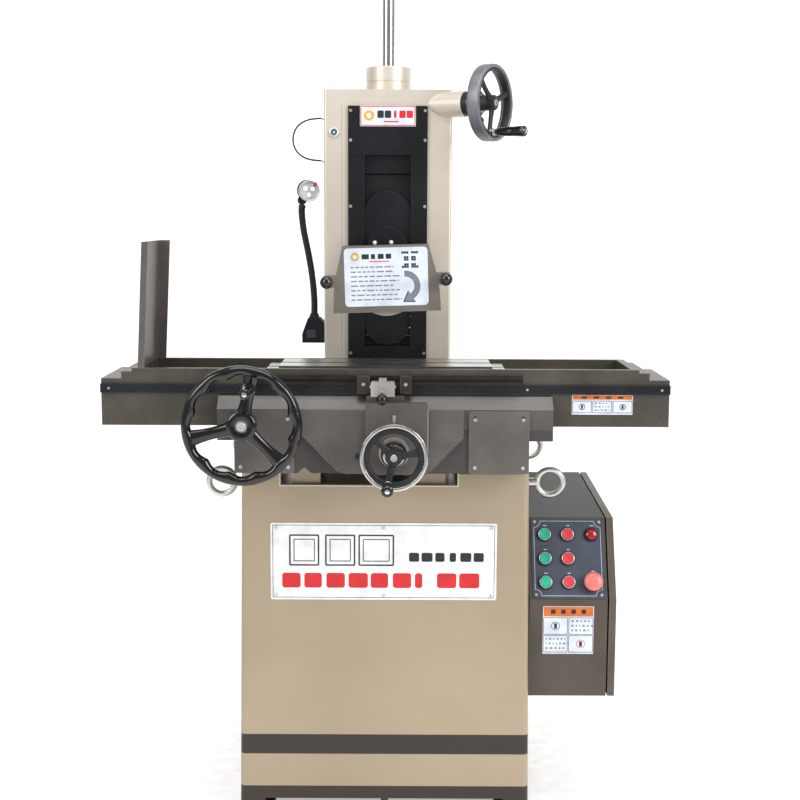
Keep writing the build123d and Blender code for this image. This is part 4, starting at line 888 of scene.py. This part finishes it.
# %% The guard's label, with a direction arrow and generic rows of print
guard_turn = math.radians(1.8)
GUARD = frame_at((0, -249, 1184), (0, -1, 0), (math.cos(guard_turn), 0, math.sin(guard_turn)))
form = bmesh.new()
slab(form, rounded(0, 12, 184, 128, 9), GUARD, 0, 0.5, 0)
lift = 0.5
arc_band(form, GUARD, -68, 57, 7, 0, 360, 4.5, 4.5, lift, 5, 32)
for step, width in enumerate((16, 9, 13, 12)):
    slab(form, rounded(-45 + step * 17, 57, width, 11), GUARD, lift, lift + 0.05, 1)
slab(form, rounded(-15, 46, 44, 2.2), GUARD, lift, lift + 0.05, 3)
for row in range(7):
    for col in range(7):
        if (row * 3 + col * 5 + row * col) % 3 or row in (0, 6) and col in (0, 6):
            slab(form, rounded(37 + col * 5.3, 64 - row * 5.2, 4.9, 4.9), GUARD, lift, lift + 0.05, 1)
print_bars(form, GUARD, -78, 34, word_rows(4, 8, 104, 5, 17), 10.2, 3.0, lift, 2)
arc_band(form, GUARD, 41, -9, 27, 92, -58, 12.5, 12.5, lift, 1, tip=15.5)
arc_band(form, GUARD, 41, -9, 27, 90, -57, 10.5, 10.5, lift + 0.05, 2, tip=13)
finished("guard_label", form, "head", PRINTS)

# %% [markdown]
# ## Other plates and stickers
# The base plate, the column label and two stickers share the same few printed shapes. A sticker is a small
# function, because the skirt and the cabinet carry the same layout at two sizes.

# %% Base plate, column label and the two safety stickers
BASE_PLATE = front(-3, -376.5, 586)
form = bmesh.new()
frame_lines(form, BASE_PLATE, 0, 0, 480, 160, 1.2, 0.15, 1)
for step, width in enumerate((62, 62, 74)):
    frame_lines(form, BASE_PLATE, -172 + step * 78, 25, width, 66, 3.4, 0.15, 1)
    frame_lines(form, BASE_PLATE, -172 + step * 78, 25, width - 18, 48, 2.0, 0.15, 1)
for step, width in enumerate((22, 24, 20, 14, 24, 22)):
    slab(form, rounded(66 + step * 28, 10, width, 20, 4), BASE_PLATE, 0.05, 0.2, 1)
for step, width in enumerate((40, 38, 40, 42, 38, 40, 16, 42, 44)):
    slab(form, rounded(-202 + step * 48 + width / 2 - 18, -42, width, 33, 6), BASE_PLATE, 0.05, 0.2, 3)
finished("nameplate_print", form, "base", PRINTS)

HEADER = front(0, -21, 1559.5)
form = bmesh.new()
slab(form, rounded(0, 0, 130, 47, 2), HEADER, 0, 0.4, 0)
frame_lines(form, HEADER, 0, 0, 126, 43, 2.0, 0.4, 3)
arc_band(form, HEADER, -44, 1, 9, 0, 360, 6, 6, 0.4, 5, 36)
for step, (width, ink) in enumerate(((15, 1), (15, 1), (6, 3), (15, 3), (15, 3))):
    slab(form, rounded(-17 + step * 17, 4, width, 17, 3), HEADER, 0.4, 0.45, ink)
slab(form, rounded(8, -13, 34, 3), HEADER, 0.4, 0.45, 3)
finished("column_label", form, "base", PRINTS)


def sticker(name, body, place, width, height, header, cells):
    """A white sticker with an orange header band and a grid of cells with grey blocks in them."""
    form = bmesh.new()
    slab(form, rounded(0, 0, width, height, 1.5), place, 0, 0.3, 0)
    slab(form, rounded(0, height / 2 - header / 2 - 1, width - 3, header), place, 0.3, 0.35, 4)
    for step in range(4):
        slab(form, rounded(-width * 0.3 + step * width * 0.2, height / 2 - header / 2 - 1, width * 0.09,
                           header * 0.45), place, 0.35, 0.4, 1)
    cols, rows = cells
    tall = (height - header - 5) / rows
    for col in range(cols):
        for row in range(rows):
            x = -width / 2 + (col + 0.5) * width / cols
            y = height / 2 - header - 2.5 - (row + 0.5) * tall
            frame_lines(form, place, x, y, width / cols - 3, tall - 3, 1.2, 0.3, 1)
            if (col + row) % 2:
                print_bars(form, place, x - width / cols * 0.38, y + tall * 0.28,
                           word_rows(col + 7 * row, 3, width / cols * 0.62, 2, 6),
                           tall * 0.26, tall * 0.11, 0.3, 2)
            else:
                arc_band(form, place, x, y, tall * 0.22, 0, 360, 1.4, 1.4, 0.3, 3 if row else 1, 24)
                slab(form, rounded(x, y, tall * 0.16, tall * 0.3), place, 0.3, 0.36, 1)
    finished(name, form, body, PRINTS)


sticker("skirt_sticker", "table", front(460, -395, 933.5), 129, 42, 9, (3, 1))
sticker("cabinet_sticker", "base", front(404, -345, 425), 112, 108, 22, (2, 2))

# %% [markdown]
# ## Controls on the slanted panel
# A push button is a coloured cap in a bright bezel on a black collar. The caps travel, so each is its own
# piece on its own body; the bezels stay with the cabinet. The emergency stop is a wide mushroom cap, and the
# pilot lamp a domed red lens. All are lathe profiles stood on the slope.

# %% Bezels, caps, mushroom and pilot lamp
SPOTS = {"green_top": (354, 625), "green_middle": (354, 576), "green_bottom": (354, 528),
         "red_top": (405, 625), "red_middle": (405, 576), "red_bottom": (405, 528)}
form = bmesh.new()
for x, z in list(SPOTS.values()) + [(458, 625)]:
    at = on_slope(x, z)
    lathe(form, [(15.5, 2), (16, 2.6), (16, 5.0), (15.4, 5.8), (14.6, 6), (12.3, 6), (12.3, 2), (15.5, 2)],
          at, 44, 1)
for x, z in SPOTS.values():
    lathe(form, [(14.2, 5.6), (14.2, 8.4), (13.7, 9.4), (13.1, 9.7), (12.5, 9.4), (12.3, 8.6), (12.3, 5.6),
                 (14.2, 5.6)], on_slope(x, z), 44, 0)
at = on_slope(458, 528)
lathe(form, [(18, 2), (18.6, 2.6), (18.6, 5.4), (17.6, 6.4), (11.4, 6.4), (11.4, 2), (18, 2)], at, 48, 1)
at = on_slope(458, 625)
lathe(form, [(0, 4), (12.2, 4), (12.2, 10.5), (11.2, 12.6), (8.2, 14.2), (4, 15.2), (0, 15.4)], at, 40, 2)
finished("bezels_and_pilot", form, "base", [ZINC, RUBBER_BLACK, DARK_RED], ["button_bezels"])
for name, (x, z) in SPOTS.items():
    form = bmesh.new()
    lathe(form, [(0, -6), (10.2, -6), (10.2, 5.2), (11.9, 5.6), (11.9, 9.4), (11.3, 10.4), (10.2, 10.7),
                 (8.8, 10.3), (0, 10.1)], on_slope(x, z), 40)
    colour, slot_name = (GREEN, "green_plastic") if name.startswith("green") else (RED, "red_plastic")
    finished("cap_" + name, form, "button_" + name, [colour], ["button_" + name])
form = bmesh.new()
lathe(form, [(0, -6), (10.4, -6), (10.4, 9), (13, 11), (19.6, 13), (20.8, 15), (21, 17.5), (20.4, 20),
             (18, 22.6), (13.5, 24.6), (7, 25.7), (0, 26)], on_slope(458, 528), 56)
finished("mushroom_cap", form, "emergency_stop", [MUSHROOM], ["emergency_stop"])

# %% [markdown]
# ## Print on the control panel
# A thin white line with scooped corners frames the panel, and two short marks stand over each control. They
# are plates a few hundredths of a millimetre thick on the panel, as silk-screen ink would be.

# %% Border and marks on the control panel
form = bmesh.new()
TOP = CONTROL @ Matrix.Translation((0, 0, 2.02))
frame_lines(form, TOP, 0, 0, 148, 168, 0.9, 0, 0, corner=14)
for sx in (-1, 1):
    for sy in (-1, 1):
        arc_band(form, TOP, sx * 74, sy * 84, 14, 180 if sx > 0 else 0, 180 + 90 * sy if sx > 0 else -90 * sy,
                 0.9, 0.9, 0, 0, 10)
for spot, (x, z) in enumerate(list(SPOTS.values()) + [(458, 625), (458, 528)]):
    up = (z - 577) / SLOPE_UP.z
    reach = 25 if spot == 7 else 20.5
    slab(form, rounded(x - 405, up + reach, 3.2, 2.4), TOP, 0, 0.05, 0)
    slab(form, rounded(x - 401, up + reach, 2.2, 2.4), TOP, 0, 0.05, 0)
finished("control_print", form, "base", PRINTS)

# %% [markdown]
# ## The work lamp on its gooseneck
# A gooseneck is a steel spiral in a soft sleeve: close rings along a bent line. A tree sweeps a core along the
# line and sets a ring at an even pitch on it. The head is a finned black body with a bright front ring, a
# pale reflector and three clear domes; the switch stays a separate part.

# %% Geometry Nodes: rings along a bent line
neck, enter, leave = open_tree("gooseneck", {"Core Radius": 0.007, "Ring Radius": 0.0012, "Pitch": 0.0026})
line = add(neck, "GeometryNodeMeshToCurve", links={"Mesh": enter["Geometry"]})
bent = add(neck, "GeometryNodeCurveSplineType", links={"Curve": line.outputs["Curve"]},
           spline_type="CATMULL_ROM")
fine = add(neck, "GeometryNodeSetSplineResolution", {"Resolution": 12}, {"Geometry": bent.outputs["Curve"]})
even = add(neck, "GeometryNodeResampleCurve",
           links={"Curve": fine.outputs["Geometry"], "Length": enter["Pitch"]}, mode="LENGTH")
core_section = add(neck, "GeometryNodeCurvePrimitiveCircle", {"Resolution": 24},
                   {"Radius": enter["Core Radius"]})
core = add(neck, "GeometryNodeCurveToMesh", {"Fill Caps": True},
           {"Curve": even.outputs["Curve"], "Profile Curve": core_section.outputs["Curve"]})
bead_section = add(neck, "GeometryNodeCurvePrimitiveCircle", {"Resolution": 6},
                   {"Radius": enter["Ring Radius"]})
bead = add(neck, "GeometryNodeCurveToMesh",
           links={"Curve": core_section.outputs["Curve"], "Profile Curve": bead_section.outputs["Curve"]})
along = neck.nodes.new("GeometryNodeInputTangent").outputs["Tangent"]
turned = add(neck, "FunctionNodeAlignRotationToVector", links={"Vector": along}, axis="Z")
beads = add(neck, "GeometryNodeInstanceOnPoints",
            links={"Points": even.outputs["Curve"], "Instance": bead.outputs["Mesh"],
                   "Rotation": turned.outputs["Rotation"]})
both = neck.nodes.new("GeometryNodeJoinGeometry")
neck.links.new(core.outputs["Mesh"], both.inputs["Geometry"])
neck.links.new(beads.outputs["Instances"], both.inputs["Geometry"])
close_tree(neck, enter, leave, both.outputs["Geometry"])
NECK_POINTS = [(-178, 55, 1084.3), (-178, 55, 1130), (-183, 55, 1185), (-192, 55, 1240), (-203, 55, 1295),
               (-207, 52, 1335), (-206, 47, 1352)]
spine = bpy.data.meshes.new("neck_line")
spine.from_pydata([Vector(p) * MM for p in NECK_POINTS], [(k, k + 1) for k in range(len(NECK_POINTS) - 1)], [])
placed("gooseneck", grow("gooseneck", neck, spine, {"Core Radius": 0.0072, "Ring Radius": 0.0011,
                                                    "Pitch": 0.0026}, RUBBER_BLACK),
       "lamp_neck", [RUBBER_BLACK], ["lamp_neck"], sharp=60)

# %% [markdown]
# ## Lamp head, knuckle and foot
# The head turns on a slotted ball and the neck ends in a flat knuckle between its cheeks. The ball is two
# caps and a crown rather than a whole sphere, so the knuckle has its slot and can turn in it.

# %% Lamp head and foot
LAMP = frame_at((-191, 47, 1388), (0.22, -0.97, -0.08))
form = bmesh.new()
fins = [(0, -30), (12, -30), (19, -28), (21, -24), (21, -18)]
for step in range(6):
    z = -17 + step * 4.4
    fins += [(25, z), (25, z + 2.2), (21.5, z + 2.2), (21.5, z + 4.4)]
fins += [(24.6, 9.4), (24.6, 13), (0, 13)]
lathe(form, fins, LAMP, 56)
lathe(form, [(24.4, 9.5), (25, 10), (25, 17), (24.2, 18), (22.6, 18), (21.8, 17.4), (21.4, 13), (24.4, 13),
             (24.4, 9.5)], LAMP, 56, 1)
lathe(form, [(0, 12.5), (21.5, 12.5), (21.5, 14), (0, 14)], LAMP, 48, 2)
for step in range(3):
    a = 2 * math.pi * step / 3 + 0.5
    spot = LAMP @ Matrix.Translation((10 * math.cos(a), 10 * math.sin(a), 14))
    lathe(form, [(6.2, 0), (6.2, 1.2), (5.4, 1.6), (5.0, 1.0), (5.0, 0), (6.2, 0)], spot, 24, 1)
    lathe(form, [(0, 0), (5, 0), (4.6, 1.6), (3.4, 2.8), (1.8, 3.4), (0, 3.6)], spot, 24, 3)
BALL_R = 11
PIVOT_AT = (-206, 47, 1365)
PIVOT = frame_at(PIVOT_AT, (1, 0, 0), (0, 1, 0))
for side in (-1, 1):
    cheek = [(math.sqrt(BALL_R ** 2 - x * x), side * x) for x in (4.8, 6.5, 8.2, 9.6, 10.6)]
    cheek = [(0, side * 4.8)] + cheek + [(0, side * BALL_R)]
    lathe(form, cheek, PIVOT, 36)
lathe(form, [(0, 7.5), (8, 7.5), (6.2, 9.1), (3.4, 10.4), (0, BALL_R)],
      frame_at(PIVOT_AT, (0, 0, 1), (1, 0, 0)), 36)
finished("lamp_head_finned", form, "lamp_head", [FIN_BLACK, ZINC, FILM_WHITE, LED_WHITE],
         ["lamp_head"])
form = bmesh.new()
lathe(form, [(0, -4.5), (6.4, -4.5), (7, -3.9), (7, 3.9), (6.4, 4.5), (0, 4.5)], PIVOT, 36)
slab(form, rounded(0, -8.5, 10, 17), PIVOT, -4.5, 4.5)
lathe(form, [(0, 0), (8.6, 0), (8.6, 5), (7.4, 6.5), (0, 6.5)],
      frame_at((-206, 47.6, 1346.5), (0, 0, 1), (1, 0, 0)), 32)
finished("neck_knuckle", form, "lamp_neck", [RUBBER_BLACK])
form = bmesh.new()
slab(form, rounded(0, 0, 22, 20, 1), front(-184, 30, 1046), 0, 0.5, 0)
lathe(form, [(0, 0), (13, 0), (13, 2), (11, 4), (10.5, 9), (9, 10), (0, 10)],
      frame_at((-178, 55, 1084), (0, 0, 1), (1, 0, 0)), 32, 1)
finished("lamp_foot_trim", form, "base", [PANEL_BLUE, RUBBER_BLACK])

# %% [markdown]
# ## The oil line
# A stiff nylon tube loops from one fitting on the column's side to another below it. It holds its own shape,
# so it is one smooth spline of its real length with a banjo fitting where each end enters the casting.

# %% Oil line and its fittings
oil = bpy.data.curves.new("oil_tube", "CURVE")
oil.dimensions = "3D"
oil.bevel_depth = 0.002
oil.bevel_resolution = 4
oil.resolution_u = 16
OIL_POINTS = [(-0.150, 1.557), (-0.172, 1.557), (-0.199, 1.551), (-0.219, 1.535), (-0.227, 1.509),
              (-0.221, 1.483), (-0.202, 1.465), (-0.174, 1.458), (-0.150, 1.458)]
spline = oil.splines.new("NURBS")
spline.points.add(len(OIL_POINTS) - 1)
for point, (x, z) in zip(spline.points, OIL_POINTS):
    point.co = (x, 0.030, z, 1.0)
spline.order_u = 3
spline.use_endpoint_u = True
oil.materials.append(RUBBER_BLACK)
tube = bpy.data.objects.new("oil_tube", oil)
bpy.context.scene.collection.objects.link(tube)
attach(tube, "base")
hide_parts("oil_line")
form = bmesh.new()
for z in (1557, 1458):
    side = frame_at((-150, 30, z), (-1, 0, 0), (0, 1, 0))
    lathe(form, [(0, 0), (hexagon(4.6), 0), (hexagon(4.6), 5), (hexagon(4.2), 5.6), (3.2, 5.8), (3.2, 8),
                 (2.2, 8.6), (0, 8.6)], side, 36)
finished("oil_fittings", form, "base", [ZINC])

# %% [markdown]
# ## The sight glass
# An oil sight glass is a bright ring round a dark window with a white spot behind it. Three lathe profiles
# in three finishes are enough at its size.

# %% Sight glass on the column
GLASS_AT = front(-126, -15, 1522)
form = bmesh.new()
lathe(form, [(0, 0), (11.5, 0), (11.5, 3), (10.8, 4.4), (9, 5), (7.6, 4.6), (7, 3.4), (7, 2.4), (0, 2.4)],
      GLASS_AT, 48)
lathe(form, [(0, 2.3), (6.9, 2.3), (6.9, 3.0), (4, 3.4), (0, 3.5)], GLASS_AT, 40, 1)
lathe(form, [(0, 3.3), (2.2, 3.3), (2.2, 3.75), (0, 3.8)], GLASS_AT, 24, 2)
finished("sight_glass", form, "base", [ZINC, GLASS_GREEN, FILM_WHITE])

# %% [markdown]
# ## Small fittings on the front
# Two domed bolts hold the guard's cover, a thin pointer reads the cross collar, and a light bead marks where
# the centre box meets the apron. They are small but they catch the light, so each is modelled.

# %% Dome bolts, pointer and bead
form = bmesh.new()
for x in (-23, 13):
    dome = GUARD @ Matrix.Translation((x, 87, 0))
    lathe(form, [(0, -4), (hexagon(4.6), -4), (hexagon(4.6), 2.4), (4.3, 3), (3.9, 5), (2.6, 6.6), (1.2, 7.2),
                 (0, 7.4)], dome, 36)
finished("guard_dome_bolts", form, "head", [CHROME])
form = bmesh.new()
slab(form, [(-3.5, 8), (3.5, 8), (3.5, -2), (0.6, -9), (-0.6, -9), (-3.5, -2)], front(19, -450, 909), 0, 1.6)
cap_screw(form, front(19, -451.6, 912), 2.8, 1.8)
finished("cross_pointer", form, "saddle", [ZINC])
form = bmesh.new()
lathe(form, [(0, 0), (hexagon(5.5), 0), (hexagon(5.5), 3.6), (4.6, 4.4), (0, 4.4)], front(-57, -440, 828), 36)
slab(form, rounded(0, 0, 1.2, 118), front(89.6, -440.2, 869), 0, 1.0, 1)
finished("apron_trim", form, "saddle", [CAST_DARK, ZINC])

# %% [markdown]
# ## Behind the slot
# Above and below the head's cover the column is dark, because folded sheets close the slot. They could be
# one texture on a plate, but real folds catch the light from any side. Both sheets hang from the head's
# carrier, so they ride on the head; a plain seal behind the top of the panel stays with the column. With
# the head at the very top the upper sheet reaches the elevation arm's inner end.

# %% Dark shutters and the fixed seal behind the slot
form = bmesh.new()
SHUTTER_HALF, FOLD, FOLD_GAP = 74, 9, 0.8
for low, count in ((1300, 14), (902, 22)):
    for step in range(count):
        z = low + step * FOLD
        top = z + FOLD - FOLD_GAP
        slab(form, [(-SHUTTER_HALF, z), (SHUTTER_HALF, z), (SHUTTER_HALF, top), (-SHUTTER_HALF, top)],
             front(0, 8.6, 0), 0, 1.2 + (step % 2) * 0.5)
finished("slot_shutters", form, "head", [PANEL_BLACK])
form = bmesh.new()
slab(form, rounded(0, 1504, 2 * SHUTTER_HALF, 152, 2), front(0, 4, 0), 0, 4.5)
finished("slot_seal", form, "base", [PANEL_BLACK])

# %% [markdown]
# ## Edge of the way recess
# The cut for the ways ends in a rounded lip on the base's front. A half-round bead along its three sides
# gives the line of light that a sharp edge lacks, and it takes the column's lighter enamel rather than the
# base's, a painted highlight along the lip.

# %% Rolled bead round the way recess
form = bmesh.new()
bead = [(1.6 * math.cos(math.pi * k / 12), 1.6 * math.sin(math.pi * k / 12)) for k in range(13)]
recess = [(-227, 780), (-227, 753), (157, 753), (157, 780)]
for (x0, z0), (x1, z1) in zip(recess, recess[1:]):
    long = math.hypot(x1 - x0, z1 - z0)
    bead_frame = frame_at((x0, -375, z0), (x1 - x0, 0, z1 - z0), (0, -1, 0))
    slab(form, [(up, side) for side, up in bead], bead_frame, -1.6, long + 1.6)
# The bead takes the lighter column enamel as a painted highlight along the lip.
finished("recess_bead_painted_highlight", form, "base", [COLUMN_PAINT])

# %% [markdown]
# ## The column's step line, drawn as painted shade
# The column's front shows a fine dark upright line beside the black panel, the shaded side of a step in its
# face. A grey strip less than a millimetre wide paints that shade without cutting the step into the casting.

# %% Painted shade line on the column's front
form = bmesh.new()
# A grey strip painted as the shade on the side of a step in the column's front.
slab(form, rounded(-108, 1182, 0.9, 806), front(0, -15, 0), 0, 0.05)
finished("column_step_painted_shade", form, "base", [INK_GREY])

# %% [markdown]
# ## The studio
# A pale sweep of paper runs under the machine and curves up behind it, so no horizon line shows. It is on
# no body, which keeps it out of the object. One large soft light on each side and one overhead wrap the
# castings; white paper all round gives the chrome and the bakelite long bright reflections.

# %% Sweep, lights and surroundings
def sweep_paper(front, back, height, radius, half):
    """A floor that curves up into a backdrop, as one smooth strip."""
    line = [(front, 0.0), (back - radius, 0.0)]
    line += [(back - radius + radius * math.sin(a), radius - radius * math.cos(a))
             for a in (math.pi / 2 * step / 12 for step in range(1, 13))]
    line.append((back, height))
    form = bmesh.new()
    rows = [[form.verts.new((x, y, z - 0.0005)) for y, z in line] for x in (-half, half)]
    for index in range(len(line) - 1):
        form.faces.new((rows[0][index], rows[1][index], rows[1][index + 1], rows[0][index + 1]))
    mesh = bpy.data.meshes.new("paper_sweep")
    form.to_mesh(mesh)
    form.free()
    mesh.shade_smooth()
    mesh.materials.append(FLOOR)
    paper = bpy.data.objects.new("paper_sweep", mesh)
    bpy.context.scene.collection.objects.link(paper)


def soft_light(name, place, aim_at, width, height, power):
    """A rectangular soft light that points at a place."""
    data = bpy.data.lights.new(name, "AREA")
    data.shape = "RECTANGLE"
    data.size = width
    data.size_y = height
    data.energy = power
    lamp = bpy.data.objects.new(name, data)
    bpy.context.scene.collection.objects.link(lamp)
    direction = Vector(aim_at) - Vector(place)
    lamp.matrix_world = Matrix.Translation(place) @ direction.to_track_quat("-Z", "Y").to_matrix().to_4x4()


sweep_paper(-6.0, 3.2, 6.0, 1.5, 8.0)
soft_light("key_left", (-2.6, -2.6, 2.7), (0, 0, 1.25), 1.6, 2.2, 58)
soft_light("fill_right", (2.8, -2.4, 2.5), (0, 0, 1.25), 1.6, 2.2, 100)
soft_light("overhead", (0.0, -0.9, 3.6), (0, 0, 0.9), 2.6, 2.0, 48)
bpy.context.scene.view_settings.view_transform = "Standard"
world = bpy.data.worlds.new("white_room")
bpy.context.scene.world = world
world.use_nodes = True
world.node_tree.nodes["Background"].inputs["Color"].default_value = linear("#ffffff")
world.node_tree.nodes["Background"].inputs["Strength"].default_value = 0.33
